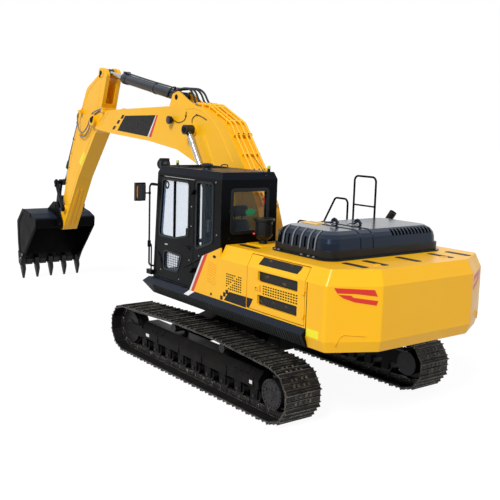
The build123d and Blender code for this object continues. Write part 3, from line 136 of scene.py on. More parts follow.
floor_paint = bpy.data.materials.new("pale_floor")
floor_paint.use_nodes = True
floor_tree = floor_paint.node_tree
floor_shader = floor_tree.nodes["Principled BSDF"]
floor_shader.inputs["Base Color"].default_value = (FLOOR_GREY, FLOOR_GREY, FLOOR_GREY, 1)
floor_shader.inputs["Roughness"].default_value = 0.9
floor_shader.inputs["Specular IOR Level"].default_value = 0.1
glow = floor_tree.nodes.new("ShaderNodeEmission")
glow.inputs["Strength"].default_value = FLOOR_GLOW
blend_share = floor_tree.nodes.new("ShaderNodeMath")
blend_share.operation = "MULTIPLY"
blend_share.inputs[1].default_value = FLOOR_GLOW_SHARE
floor_tree.links.new(seen_directly(floor_tree), blend_share.inputs[0])
blended = floor_tree.nodes.new("ShaderNodeMixShader")
floor_tree.links.new(blend_share.outputs[0], blended.inputs[0])
floor_tree.links.new(floor_shader.outputs[0], blended.inputs[1])
floor_tree.links.new(glow.outputs[0], blended.inputs[2])
floor_tree.links.new(blended.outputs[0], floor_tree.nodes["Material Output"].inputs["Surface"])

floor_mesh = bpy.data.meshes.new("floor")
corner = FLOOR_HALF
floor_mesh.from_pydata(
    [(-corner, -corner, 0), (corner, -corner, 0), (corner, corner, 0), (-corner, corner, 0)],
    [], [(0, 1, 2, 3)])
floor_mesh.materials.append(floor_paint)
floor = bpy.data.objects.new("floor", floor_mesh)
bpy.context.scene.collection.objects.link(floor)


# Tracks: forged steel shoes with three grousers each, bolted to the links of two chain rails.
# The steel is dark with brown dust in its hollows, and rubbed bright where it meets the ground.
SHOES = 46
LOOP_DEPTH = 0.048
WHEEL_HEIGHT = 0.412
SPROCKET_X, IDLER_X = -2.01, 2.075
TOP_RUN_REAR_X, TOP_RUN_FRONT_X = -0.65, 0.7
TOP_RUN_Z = 0.905
TRACK_Y = 1.3
RAIL_OFFSET = 0.085
SHOE_FACE = 0.018
SHOE_BOLT_RADIUS = 0.015
SHOE_BOLT_SHARES = (0.29, 0.68)
SHOE_BOLT_YS = (-0.125, -0.05, 0.05, 0.125)
LINK_PIN_DEPTH = 0.052
LINK_PIN_RADIUS = 0.026
LINK_WAIST = [(0.045, -0.086, 0.02), (0.16, -0.086, 0.02), (0.15, -0.046, 0.01), (0.055, -0.046, 0.01)]
LINK_SIDE = RAIL_OFFSET + 0.0225
# A drawing plane holds the two directions of an outline, then the way that it is thickened.
SIDE = np.array([(1.0, 0, 0), (0, 0, 1), (0, 1, 0)])
FRONT = np.array([(0, 1.0, 0), (0, 0, 1), (1, 0, 0)])
PLAN = np.eye(3)
ORIGIN = (0, 0, 0)
LEFT = (0, 1, 0)
UP = (0, 0, 1)
AHEAD = (1, 0, 0)
BACK = (-1, 0, 0)
LOWER = "undercarriage"
UPPER = "upper_structure"
HOOD = "hood_body"
CAB_DOOR = "cab_door_body"
BOOM = "boom_body"
ARM = "arm_body"
BUCKET = "bucket_body"


def linear(red, green, blue):
    """A screen colour from 0 to 255 as linear light, channel by channel by the 2.4 power curve."""
    shares = np.array([red, green, blue]) / 255
    low = shares / 12.92
    high = ((shares + 0.055) / 1.055) ** 2.4
    return (*np.where(shares <= 0.04045, low, high).tolist(), 1)


class Finish:
    """One procedural material on Object coordinates, built up in layers over a base colour.
    """

    def __init__(self, name, colour, roughness, metallic=0.0, specular=0.5, slot=None):
        self.slot = slot or name
        self.material = bpy.data.materials.new(name)
        self.material.use_nodes = True
        self.tree = self.material.node_tree
        self.shader = self.tree.nodes["Principled BSDF"]
        self.set("Base Color", colour)
        self.set("Roughness", roughness)
        self.set("Metallic", metallic)
        self.set("Specular IOR Level", specular)
        self.colour = colour
        self.place = self.add("ShaderNodeTexCoord").outputs["Object"]

    def set(self, socket, value):
        self.shader.inputs[socket].default_value = value

    def add(self, kind, inputs=(), **settings):
        made = self.tree.nodes.new(kind)
        for key, value in settings.items():
            setattr(made, key, value)
        for key, value in dict(inputs).items():
            if isinstance(value, bpy.types.NodeSocket):
                self.tree.links.new(value, made.inputs[key])
            else:
                made.inputs[key].default_value = value
        return made

    def noise(self, scale, detail=3.0, stretch=(1, 1, 1)):
        """Cloudy noise, scale cells to a metre, drawn out along an axis by a stretch under 1."""
        spread = self.add("ShaderNodeMapping", {"Vector": self.place, "Scale": stretch})
        return self.add("ShaderNodeTexNoise", {
            "Vector": spread.outputs[0], "Scale": scale, "Detail": detail}).outputs["Fac"]

    def between(self, value, low, high, start=0.0, end=1.0):
        """The value's stretch from low to high, moved to start to end and held there."""
        return self.add("ShaderNodeMapRange", {
            "Value": value, "From Min": low, "From Max": high,
            "To Min": start, "To Max": end}).outputs[0]

    def times(self, one, other):
        return self.add("ShaderNodeMath", {0: one, 1: other}, operation="MULTIPLY").outputs[0]

    def height(self):
        """The height above the ground, in metres."""
        return self.add("ShaderNodeSeparateXYZ", {0: self.place}).outputs["Z"]

    def edges(self, radius):
        """1 on edges that use rubs, from how far a rounded edge's normal leaves the flat one."""
        soft = self.add("ShaderNodeBevel", {"Radius": radius}, samples=4).outputs[0]
        flat = self.add("ShaderNodeNewGeometry").outputs["Normal"]
        same = self.add("ShaderNodeVectorMath", {0: soft, 1: flat}, operation="DOT_PRODUCT")
        return self.between(same.outputs["Value"], 0.97, 0.8)

    def layer(self, amount, colour):
        """Lays a colour over what is there, by an amount from 0 to 1 at each place."""
        mix = self.add("ShaderNodeMix", {0: amount, 6: self.colour, 7: colour}, data_type="RGBA")
        self.colour = mix.outputs[2]
        self.tree.links.new(self.colour, self.shader.inputs["Base Color"])

    def roughen(self, value, smooth, rough):
        """Lets roughness run from smooth to rough with a value from 0 to 1."""
        self.tree.links.new(
            self.between(value, 0.3, 0.7, smooth, rough), self.shader.inputs["Roughness"])

    def bump(self, value, strength, depth):
        made = self.add("ShaderNodeBump", {"Height": value, "Strength": strength, "Distance": depth})
        self.tree.links.new(made.outputs[0], self.shader.inputs["Normal"])


def dress(finish, *names):
    """Gives a finish to CAD nodes, in every material slot they have."""
    for name in names:
        mesh = nodes[name].data
        if not mesh.materials:
            mesh.materials.append(finish.material)
        for slot in range(len(mesh.materials)):
            mesh.materials[slot] = finish.material


def worn_steel(name, dark, bright, edge):
    """Dark scaled steel with brown dust in its hollows and bare metal on rubbed edges."""
    steel = Finish(name, dark, 0.5, metallic=0.55)
    cloud = steel.noise(9, 5)
    grain = steel.noise(130, 2)
    steel.layer(steel.between(cloud, 0.45, 0.75, 0, 0.5), linear(50, 45, 40))
    steel.layer(steel.times(steel.edges(edge), steel.between(cloud, 0.3, 0.6)), bright)
    steel.roughen(grain, 0.38, 0.62)
    steel.bump(grain, 0.25, 0.002)
    return steel


def solid(outline, low, high, axes=SIDE, origin=ORIGIN):
    """A closed prism: the outline at two heights along the third axis, with walls between."""
    flat = np.asarray(outline, float)
    count = len(flat)
    ends = [np.column_stack([flat, np.full(count, height)]) for height in (low, high)]
    points = np.concatenate(ends) @ axes + np.asarray(origin, float)
    near = np.arange(count)
    after = np.roll(near, -1)
    walls = np.stack([near, after, after + count, near + count], axis=1)
    corners = np.concatenate([near[::-1], near + count, walls.ravel()])
    return points, corners, np.concatenate([[count, count], np.full(count, 4)])


def hollow(outer, inner, low, high, axes=SIDE, origin=ORIGIN):
    """A closed frame between two outlines with as many points each: four strips of quads."""
    loops = []
    for line, height in ((outer, low), (outer, high), (inner, high), (inner, low)):
        flat = np.asarray(line, float)
        loops.append(np.column_stack([flat, np.full(len(flat), height)]))
    points = np.concatenate(loops) @ axes + np.asarray(origin, float)
    count = len(loops[0])
    ring = np.arange(4)[:, None] * count
    near = np.arange(count)
    after = np.roll(near, -1)
    upper = np.roll(ring, -1, axis=0)
    quads = np.stack([near + ring, after + ring, after + upper, near + upper], axis=-1)
    return points, quads.ravel(), np.full(4 * count, 4)


def oblong(x0, z0, x1, z1):
    """A rectangle's outline with sharp corners."""
    return [(x0, z0), (x1, z0), (x1, z1), (x0, z1)]


def box(low, high):
    """A closed block between two corners."""
    return solid(oblong(*low[:2], *high[:2]), low[2], high[2], PLAN)


def rounded(corners, steps=4):
    """An outline from (a, b, cut) corners: each is a parabola between the points a cut from it."""
    spots = np.array([corner[:2] for corner in corners], float)
    cuts = np.array([corner[2] for corner in corners], float)[:, None]
    back = np.roll(spots, 1, axis=0) - spots
    ahead = np.roll(spots, -1, axis=0) - spots
    start = spots + back / np.linalg.norm(back, axis=1)[:, None] * cuts
    end = spots + ahead / np.linalg.norm(ahead, axis=1)[:, None] * cuts
    share = np.linspace(0, 1, steps)[None, :, None]
    bend = (1 - share) ** 2 * start[:, None] + 2 * share * (1 - share) * spots[:, None]
    bend = bend + share ** 2 * end[:, None]
    return bend.reshape(-1, 2)


def panel(x0, z0, x1, z1, cut, steps=4):
    """A rectangle's outline with its four corners rounded alike."""
    return rounded([(*corner, cut) for corner in oblong(x0, z0, x1, z1)], steps)


def round_points(count, start=0.0):
    """Evenly spread points on a circle of radius 1: the cosine and sine of equal steps of angle."""
    turn = start + np.linspace(0, 2 * np.pi, count, endpoint=False)
    return np.stack([np.cos(turn), np.sin(turn)], axis=1)


def eased(route, rounds=3):
    """A smooth line led by a few points: each round cuts every corner at a quarter of its runs."""
    line = np.asarray(route, float)
    for _ in range(rounds):
        near = 0.75 * line[:-1] + 0.25 * line[1:]
        far = 0.25 * line[:-1] + 0.75 * line[1:]
        cut = np.stack([near, far], axis=1).reshape(-1, 3)
        line = np.concatenate([line[:1], cut[1:-1], line[-1:]])
    return line


def tube(line, radius, sides=10):
    """A closed round tube: rings square to the line's direction, joined by quads, with end caps."""
    line = np.asarray(line, float)
    along = np.gradient(line, axis=0)
    along /= np.linalg.norm(along, axis=1)[:, None]
    spread = np.linalg.svd(line - line.mean(axis=0))[2]
    across = np.cross(along, spread[2])
    across /= np.linalg.norm(across, axis=1)[:, None]
    upright = np.cross(across, along)
    side, rise = round_points(sides).T
    radii = np.broadcast_to(radius, len(line))[:, None, None]
    ring = side[:, None] * across[:, None] + rise[:, None] * upright[:, None]
    points = (line[:, None] + radii * ring).reshape(-1, 3)
    return skin(points, len(line), sides)


def pipe(route, radius, sides=10, rounds=3):
    """A round tube along a smooth line led by a few points."""
    return tube(eased(route, rounds), radius, sides)


def skin(points, rings, sides):
    """Quads between rings of points, and one cap at each end."""
    near = np.arange(sides)
    after = np.roll(near, -1)
    step = np.arange(rings - 1)[:, None] * sides
    quads = np.stack([near + step, after + step, after + step + sides, near + step + sides], axis=-1)
    caps = np.concatenate([near[::-1], near + (rings - 1) * sides])
    corners = np.concatenate([quads.ravel(), caps])
    return points, corners, np.concatenate([np.full((rings - 1) * sides, 4), [sides, sides]])


def facing(out):
    """Three axes whose third is a direction: across, up and out."""
    out = np.asarray(out, float) / np.linalg.norm(out)
    helper = (0, 0, 1) if abs(out[2]) < 0.9 else (1, 0, 0)
    across = np.cross(helper, out)
    across /= np.linalg.norm(across)
    return np.stack([across, np.cross(out, across), out])


def turned(profile, origin, out, sides=20):
    """A turned solid: a profile of (height, radius) spun round a direction, capped at both ends."""
    heights, radii = np.array(profile, float).T
    flat = round_points(sides)[None] * radii[:, None, None]
    local = np.concatenate([flat, np.broadcast_to(heights[:, None, None], (len(radii), sides, 1))], -1)
    points = local.reshape(-1, 3) @ facing(out) + np.asarray(origin, float)
    return skin(points, len(radii), sides)


def joined(shapes):
    """Several shapes as one, with each one's corner numbers moved past those before it."""
    starts = np.cumsum([0] + [len(shape[0]) for shape in shapes[:-1]])
    points = np.concatenate([shape[0] for shape in shapes])
    corners = np.concatenate([shape[1] + start for shape, start in zip(shapes, starts)])
    return points, corners, np.concatenate([shape[2] for shape in shapes])


def copies(shape, origins, axes=None):
    """A shape at many places, each turned by its own or by one set of axes."""
    points, corners, sides = shape
    origins = np.asarray(origins, float).reshape(-1, 1, 3)
    turned_points = points if axes is None else points @ np.asarray(axes, float)
    placed = np.broadcast_to(turned_points, (len(origins), len(points), 3)) + origins
    steps = np.arange(len(origins))[:, None] * len(points)
    return placed.reshape(-1, 3), (corners + steps).ravel(), np.tile(sides, len(origins))


def mirrored(shape):
    """The same shape on the machine's other side."""
    return shape[0] * (1, -1, 1), shape[1], shape[2]


def on_both(*shapes):
    """Shapes on the machine's left, and the same again on its right."""
    shape = joined(list(shapes))
    return joined([shape, mirrored(shape)])


def hex_bolt(radius):
    """A bolt at the origin, along the third axis: a round washer and a six-sided head above it."""
    washer = turned([(-0.3 * radius, radius * 1.35), (0.25 * radius, radius * 1.35)], ORIGIN, UP, 10)
    head = [(0.1 * radius, radius), (0.85 * radius, radius), (radius, radius * 0.82)]
    return joined([washer, turned(head, ORIGIN, UP, 6)])


def bolts(origins, out, radius=0.012):
    return copies(hex_bolt(radius), origins, facing(out))


def piece(name, body, finish, *shapes, bevel=0.0, sharp=35, slot=None):
    """One scene object from its shapes, with faces turned outward, riding on a body.

    A hose that runs between two bodies is given none here.
    """
    points, corners, sides = joined(list(shapes))
    mesh = bpy.data.meshes.new(name)
    mesh.vertices.add(len(points))
    mesh.vertices.foreach_set("co", points.astype(np.float32).ravel())
    mesh.loops.add(len(corners))
    mesh.loops.foreach_set("vertex_index", corners.astype(np.int32))
    mesh.polygons.add(len(sides))
    starts = np.concatenate([[0], np.cumsum(sides)[:-1]])
    mesh.polygons.foreach_set("loop_start", starts.astype(np.int32))
    mesh.update(calc_edges=True)
    work = bmesh.new()
    work.from_mesh(mesh)
    bmesh.ops.recalc_face_normals(work, faces=work.faces)
    work.to_mesh(mesh)
    work.free()
    mesh.polygons.foreach_set("use_smooth", np.ones(len(sides), bool))
    mesh.set_sharp_from_angle(angle=math.radians(sharp))
    mesh.materials.append(finish.material)
    made = bpy.data.objects.new(name, mesh)
    bpy.context.scene.collection.objects.link(made)
    if bevel:
        soften = made.modifiers.new("soft_edges", "BEVEL")
        soften.width = bevel
        soften.segments = 2
        soften.limit_method = "ANGLE"
        soften.angle_limit = math.radians(sharp)
    if body:
        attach(made, body)
    slot = slot or finish.slot
    return made


def beside(places, y):
    """Places (x, z) in side view, set at a distance from the machine's middle."""
    places = np.asarray(places, float)
    return np.column_stack([places[:, 0], np.full(len(places), y), places[:, 1]])


def loop_places(depth, count):
    """Evenly spread points of the track loop in side view: two runs below and above, two arcs."""
    radius = WHEEL_HEIGHT - depth
    top = TOP_RUN_Z - depth
    rise = top - WHEEL_HEIGHT - radius
    front_end = np.pi / 2 - math.atan2(rise, IDLER_X - TOP_RUN_FRONT_X)
    rear_start = np.pi / 2 + math.atan2(rise, TOP_RUN_REAR_X - SPROCKET_X)
    front = np.linspace(-np.pi / 2, front_end, 200)
    rear = np.linspace(rear_start, np.pi * 1.5, 200)
    line = np.concatenate([
        [(SPROCKET_X, depth)],
        np.stack([IDLER_X + radius * np.cos(front), WHEEL_HEIGHT + radius * np.sin(front)], 1),
        [(TOP_RUN_FRONT_X, top), (TOP_RUN_REAR_X, top)],
        np.stack([SPROCKET_X + radius * np.cos(rear), WHEEL_HEIGHT + radius * np.sin(rear)], 1),
    ])
    reach = np.concatenate([[0], np.cumsum(np.linalg.norm(np.diff(line, axis=0), axis=1))])
    spread = reach[-1] * np.arange(count) / count
    return np.stack([np.interp(spread, reach, line[:, k]) for k in (0, 1)], axis=1)


track_steel = worn_steel("track_steel", linear(26, 26, 27), linear(176, 170, 158), 0.009)
cast_steel = worn_steel("cast_steel", linear(26, 27, 30), linear(84, 84, 86), 0.006)
dress(track_steel, "track_left", "track_right")
dress(cast_steel, "sprockets", "idlers", "bottom_rollers", "carrier_rollers", "slew_ring",
      "bucket_teeth")

shoe_corner = loop_places(LOOP_DEPTH, SHOES)
shoe_along = np.roll(shoe_corner, -1, axis=0) - shoe_corner
shoe_length = np.linalg.norm(shoe_along, axis=1)[:, None]
shoe_tangent = shoe_along / shoe_length
shoe_normal = np.stack([shoe_tangent[:, 1], -shoe_tangent[:, 0]], axis=1)
shoe_axes = np.zeros((SHOES, 3, 3))
shoe_axes[:, 0, 0], shoe_axes[:, 0, 2] = shoe_tangent.T
shoe_axes[:, 1, 1] = 1
shoe_axes[:, 2, 0], shoe_axes[:, 2, 2] = shoe_normal.T
shoe_bolts = []
for share in SHOE_BOLT_SHARES:
    seat = shoe_corner + shoe_along * share + shoe_normal * SHOE_FACE
    for y in SHOE_BOLT_YS:
        shoe_bolts.append(copies(hex_bolt(SHOE_BOLT_RADIUS), beside(seat, TRACK_Y + y), shoe_axes))
pin_places = shoe_corner - shoe_normal * LINK_PIN_DEPTH
link_parts = []
for side in (-1, 1):
    boss = [(-0.004, LINK_PIN_RADIUS * 1.5), (0.006, LINK_PIN_RADIUS * 1.4), (0.006, LINK_PIN_RADIUS),
            (0.01, LINK_PIN_RADIUS * 0.9)]
    cheek = solid(rounded(LINK_WAIST, 3), 0, 0.007, SIDE * (1, side, 1))
    y = TRACK_Y + side * LINK_SIDE
    link_parts.append(copies(turned(boss, ORIGIN, (0, side, 0), 10), beside(pin_places, y)))
    link_parts.append(copies(cheek, beside(shoe_corner, y), shoe_axes))
piece("track_bolts", LOWER, track_steel, on_both(*shoe_bolts))
piece("track_links", LOWER, track_steel, on_both(*link_parts))


# Sprockets, idlers and rollers: cast steel wheels on sealed hubs.
# The final drive's cover is held by two rings of bolts and has two oil plugs.
HUB_FACE_Y = TRACK_Y + 0.245
HUB_RINGS = (
    # bolt circle radius, number of bolts, bolt radius
    (0.18, 20, 0.013),
    (0.085, 8, 0.011),
)
HUB_PLUGS = (
    # distance from the hub's middle, turn in radians
    (0.125, 0.35), (0.125, 2.3),
)
IDLER_FACE_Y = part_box("idlers")[1][1]
ROLLER_XS = [(place - 4) * 0.38 for place in range(9)]
ROLLER_AXLE_Z = 0.23


def circle(centre, radius, count, y, start=0.0):
    """Evenly spread points on an upright circle that faces sideways."""
    return beside(centre + radius * round_points(count, start), y)


drive_parts = []
hub_centre = (SPROCKET_X, WHEEL_HEIGHT)
for ring_radius, count, bolt_radius in HUB_RINGS:
    drive_parts.append(bolts(circle(hub_centre, ring_radius, count, HUB_FACE_Y), LEFT, bolt_radius))
plug = turned([(-0.002, 0.022), (0.01, 0.022), (0.012, 0.018)], ORIGIN, LEFT, 12)
for plug_radius, turn in HUB_PLUGS:
    drive_parts.append(copies(plug, circle(hub_centre, plug_radius, 1, HUB_FACE_Y, turn)))
hub_cap = turned([(-0.002, 0.06), (0.006, 0.058), (0.01, 0.05)], (SPROCKET_X, HUB_FACE_Y, WHEEL_HEIGHT),
                 LEFT)
drive_parts.append(hub_cap)
drive_parts.append(bolts(circle((IDLER_X, WHEEL_HEIGHT), 0.085, 6, IDLER_FACE_Y), LEFT, 0.011))
for x in ROLLER_XS:
    drive_parts.append(bolts([(x, TRACK_Y + 0.16, ROLLER_AXLE_Z)], LEFT, 0.022))
piece("hub_bolts", LOWER, cast_steel, on_both(*drive_parts))


# Track frames: welded steel boxes with a sloping top, painted black.
# Bolted covers close the tensioner, and blank service labels are stuck on the outer wall.
FRAME_WALL_Y = TRACK_Y + 0.16
FRAME_SLOPE_TOP = (TRACK_Y + 0.07, 0.6)
FRAME_SLOPE_FOOT = (TRACK_Y + 0.16, 0.48)
FRAME_SEAM_HALF = 1.62
COVER_XS = ((0.95, 1.32), (-1.36, -1.02))
LABEL_SPOTS = ((1.42, 0.415), (-1.46, 0.415))
FRAME_RIB_XS = (-1.5, -0.85, -0.2, 0.45, 1.1)
FOIL_SINK = 0.001
FOIL_RISE = 0.0015


def enamel(name, colour, faded, worn, dust, roughness, coat=0.0, specular=0.5, slot=None):
    """Gloss paint whose colour drifts with two sizes of cloud, with dust near the ground."""
    paint = Finish(name, colour, roughness, specular=specular, slot=slot)
    cloud = paint.noise(0.9, 4)
    peel = paint.noise(160, 1)
    paint.layer(paint.between(cloud, 0.4, 0.72, 0, 0.55), faded)
    low = paint.between(paint.height(), 1.3, 0.15)
    settled = paint.times(low, paint.between(paint.noise(5, 6), 0.42, 0.75, 0, 0.45))
    paint.layer(settled, dust)
    paint.layer(paint.times(paint.edges(0.006), paint.between(paint.noise(14, 3), 0.4, 0.7)), worn)
    paint.roughen(paint.noise(2.5, 3), roughness - 0.05, roughness + 0.1)
    paint.bump(peel, 0.05, 0.001)
    paint.set("Coat Weight", coat)
    paint.set("Coat Roughness", 0.15)
    return paint


def painted_sky_reflection(paint, amount, colour):
    """Painted sky reflection: lays a colour on faces that look up, by the upward part of their normal."""
    normal = paint.add("ShaderNodeNewGeometry").outputs["Normal"]
    upward = paint.add("ShaderNodeSeparateXYZ", {0: normal}).outputs["Z"]
    paint.layer(paint.between(upward, 0.15, 0.95, 0, amount), colour)


def flat_label(name, colour, roughness=0.45, specular=0.5):
    """Printed foil: an even colour that has faded a little in patches."""
    foil = Finish(name, colour, roughness, specular=specular)
    faint = tuple(0.86 * share for share in colour[:3]) + (1,)
    foil.layer(foil.between(foil.noise(6, 4), 0.45, 0.7, 0, 0.6), faint)
    foil.roughen(foil.noise(30, 2), roughness - 0.08, roughness + 0.12)
    return foil


def sheet_on(y, *outlines):
    """Thin foils on an upright face that looks to the left."""
    return joined([solid(outline, y - FOIL_SINK, y + FOIL_RISE) for outline in outlines])


black_paint = enamel("black_paint", linear(8, 8, 7), linear(13, 12, 11), linear(58, 60, 66),
                     linear(46, 42, 38), 0.3, specular=0.07)
black_paint.set("Specular Tint", (0.62, 0.76, 1.0, 1))
# Painted sky reflection: faces that look up turn bluish grey, more so the more they face up.
painted_sky_reflection(black_paint, 0.55, linear(46, 56, 74))
white_foil = flat_label("white_foil", linear(226, 228, 226))
chassis_black = enamel("chassis_black", linear(9, 9, 9), linear(15, 14, 13), linear(56, 56, 58),
                       linear(40, 36, 32), 0.34, specular=0.05, slot="black_paint")
dress(chassis_black, "track_frame_left", "track_frame_right")

frame_parts = []
slope_y, slope_z = np.subtract(FRAME_SLOPE_TOP, FRAME_SLOPE_FOOT)
slope_out = np.array([0, slope_z, -slope_y])
slope_axes = np.array([(1.0, 0, 0), (0, slope_y, slope_z), slope_out])
slope_axes[1:] /= np.linalg.norm(slope_axes[1:], axis=1)[:, None]
for x0, x1 in COVER_XS:
    origin = (0, *FRAME_SLOPE_FOOT)
    frame_parts.append(solid(panel(x0, 0.02, x1, 0.13, 0.02), -0.002, 0.008, slope_axes, origin))
    corners = np.array([(x, b) for x in (x0 + 0.03, (x0 + x1) / 2, x1 - 0.03) for b in (0.038, 0.112)])
    spots = np.column_stack([corners, np.full(len(corners), 0.008)]) @ slope_axes + np.array(origin)
    frame_parts.append(bolts(spots, slope_out, 0.011))
for x in FRAME_RIB_XS:
    rib = oblong(x - 0.012, 0.352, x + 0.012, 0.478)
    frame_parts.append(solid(rib, FRAME_WALL_Y - 0.002, FRAME_WALL_Y + 0.01))
for x in ROLLER_XS:
    frame_parts.append(bolts([(x + dx, FRAME_WALL_Y, 0.33) for dx in (-0.05, 0.05)], LEFT, 0.01))
frame_seam = panel(-FRAME_SEAM_HALF, 0.44, FRAME_SEAM_HALF, 0.462, 0.004)
frame_parts.append(solid(frame_seam, FRAME_WALL_Y - 0.002, FRAME_WALL_Y + 0.006))
piece("frame_covers", LOWER, chassis_black, on_both(*frame_parts), bevel=0.002)
label = sheet_on(FRAME_WALL_Y, panel(-0.05, -0.028, 0.05, 0.028, 0.006))
piece("frame_labels", LOWER, white_foil, on_both(copies(label, beside(LABEL_SPOTS, 0))))


# Centre frame and slew ring: a welded box with splayed legs carries the bearing.
# A ring of high bolts holds the bearing down, and three bolts sit on each leg.
RING_BOLTS = 36
RING_BOLT_CIRCLE = 0.71
RING_FOOT_Z = 1.0
LEG_BOLTS = ((0.6, 0.3, 0.942), (0.6, 0.5, 0.942), (0.3, 0.52, 0.942))

dress(chassis_black, "centre_frame")
ring_spots = np.column_stack([round_points(RING_BOLTS) * RING_BOLT_CIRCLE,
                              np.full(RING_BOLTS, RING_FOOT_Z)])
leg_bolts = [(sx * x, sy * y, z) for sx in (-1, 1) for sy in (-1, 1) for x, y, z in LEG_BOLTS]
piece("centre_bolts", LOWER, cast_steel,
      bolts(ring_spots, UP, 0.013), bolts(leg_bolts, UP, 0.013))


# Upper frame: two thick plates carry the boom foot, with a deck plate round them.
# Pins are kept from turning by small bolted keepers, and the deck has tread plates.
BOOM_FOOT = (0.1, 2.1)
BOOM_CYLINDER_FOOT = (0.65, 1.75)
CHEEK_Y = 0.345
PIN_END_Y = 0.36
DECK_TOP = 1.435
TREAD_BAR = 0.028
TREAD_PITCH = 0.055
FOOT_KEEPER_X = BOOM_FOOT[0] + 0.085


def turned_plan(turn):
    """The axes of a plan that is turned about the vertical."""
    return np.array([(math.cos(turn), math.sin(turn), 0), (-math.sin(turn), math.cos(turn), 0), UP])


def tread_bars(x0, x1, y0, y1, z):
    """Raised lens-shaped bars in a chequered pattern on a plate, two ways by turns."""
    columns = np.arange(x0 + TREAD_PITCH / 2, x1 - TREAD_PITCH / 3, TREAD_PITCH)
    rows = np.arange(y0 + TREAD_PITCH / 2, y1 - TREAD_PITCH / 3, TREAD_PITCH)
    across, along = np.meshgrid(columns, rows, indexing="ij")
    odd = (np.add.outer(np.arange(len(columns)), np.arange(len(rows))) % 2).astype(bool)
    half = TREAD_BAR / 2
    bar = [(-half, 0), (0, -0.004), (half, 0), (0, 0.004)]
    shapes = []
    for turn, chosen in ((0.785, odd), (-0.785, ~odd)):
        spots = np.stack([across[chosen], along[chosen], np.full(chosen.sum(), z)], axis=1)
        shapes.append(copies(solid(bar, -0.001, 0.0025, PLAN), spots, turned_plan(turn)))
    return joined(shapes)


def pin_cap(spot, y, radius):
    """A pin's end with its grease nipple, on both sides of the machine."""
    x, z = spot
    cap = turned([(-0.004, radius), (0.006, radius), (0.01, radius * 0.9)], (x, y, z), LEFT, 24)
    grease = turned([(0.008, 0.01), (0.018, 0.008), (0.022, 0.005)], (x, y, z), LEFT, 8)
    return on_both(cap, grease)


dress(black_paint, "upper_frame")
foot_keeper = solid(panel(-0.03, -0.05, 0.03, 0.05, 0.02), CHEEK_Y - 0.002, CHEEK_Y + 0.012, SIDE,
                    (FOOT_KEEPER_X, 0, BOOM_FOOT[1]))
keeper_bolts = bolts([(FOOT_KEEPER_X, CHEEK_Y + 0.012, BOOM_FOOT[1] + dz) for dz in (-0.028, 0.028)], LEFT)
piece("foot_pins", UPPER, black_paint, pin_cap(BOOM_FOOT, PIN_END_Y, 0.052),
      pin_cap(BOOM_CYLINDER_FOOT, 0.433, 0.042), on_both(foot_keeper, keeper_bolts))
piece("deck_tread", UPPER, black_paint,
      tread_bars(0.7, 1.05, -0.3, 0.3, DECK_TOP), tread_bars(1.09, 1.22, 0.5, 1.4, DECK_TOP))


# Side rails: a bent steel skirt below the doors, black, with its two bevels meeting in a crest.
# Stiffening ribs are pressed into the lower bevel, and a blank white plate is on the upper one.
CREST = (1.58, 1.362)
RAIL_TOP = (1.5, 1.435)
RAIL_FOOT = (1.5, 1.2)
LOWER_BEVEL = math.dist(CREST, RAIL_FOOT)
UPPER_BEVEL = math.dist(CREST, RAIL_TOP)
RIB_XS = np.arange(-2.52, 1.08, 0.052)
RAIL_BOLT_XS = np.linspace(-2.4, 1.2, 9)
RAIL_PLATE = [(0.14, 0.008), (0.012, 0.008), (-0.05, UPPER_BEVEL - 0.006), (0.095, UPPER_BEVEL - 0.006)]


def slope_frame(foot, top):
    """Axes and origin of a plane that runs along the machine between two (y, z) edges."""
    rise = np.array([0, top[0] - foot[0], top[1] - foot[1]])
    rise /= np.linalg.norm(rise)
    return np.stack([(1.0, 0, 0), rise, np.cross((1, 0, 0), rise) * -1]), (0, *foot)


def on_slope(foot, top, outline, low, high):
    """A prism that stands on such a plane, with its outline drawn along it and up it."""
    axes, origin = slope_frame(foot, top)
    return solid(outline, low, high, axes, origin)


dress(black_paint, "side_rails")
lower_out = np.sign(slope_frame(RAIL_FOOT, CREST)[0][2][1])
rail_rib = on_slope(RAIL_FOOT, CREST, oblong(-0.005, 0.012, 0.005, LOWER_BEVEL - 0.012),
                    *sorted((-0.002 * lower_out, 0.006 * lower_out)))
rail_ribs = copies(rail_rib, [(x, 0, 0) for x in RIB_XS])
piece("rail_ribs", UPPER, black_paint, on_both(rail_ribs))
piece("rail_bolts", UPPER, black_paint,
      on_both(bolts([(x, 1.4995, 1.4355) for x in RAIL_BOLT_XS], UP, 0.009)))
upper_out = np.sign(slope_frame(CREST, RAIL_TOP)[0][2][1])
piece("rail_plate", UPPER, white_foil,
      on_slope(CREST, RAIL_TOP, RAIL_PLATE, *sorted((-0.001 * upper_out, 0.002 * upper_out))))


# Counterweight: one heavy casting, filled and painted yellow, hung on the frame's tail.
# Red lamp-shaped marks are stuck on its rear corners, and welded collars ring its lifting eyes.
CW_CORNER = (-2.93, 1.51)
CW_TAIL = (-3.28, 0.87)
CW_SEAM_X = -2.6
CW_TOP_Z = 2.225
MARK_BARS = (
    # red bars on a rear corner: (along the corner face, height) from the front end to the tail
    [(0.11, 2.012), (0.624, 1.986), (0.664, 1.904), (0.387, 1.937), (0.15, 1.946)],
    [(0.163, 1.93), (0.33, 1.917), (0.356, 1.892), (0.671, 1.85), (0.653, 1.792), (0.371, 1.835),
     (0.228, 1.885)],
)
STEP_LINE = [(0.157, 1.293), (0.205, 1.397), (0.255, 1.427), (0.539, 1.403), (0.539, 1.413), (0.252, 1.437),
             (0.198, 1.405), (0.147, 1.296)]
EYE_SPOTS = [(-2.94, 0.6525), (-2.94, -0.6525)]


def top_strip(x, y, length, width, turn, z=CW_TOP_Z):
    """A thin grip strip lying on a level surface, turned in plan."""
    a, b = length / 2, width / 2
    return solid(panel(-a, -b, a, b, b * 0.6), -0.001, 0.003, turned_plan(turn), (x, y, z))


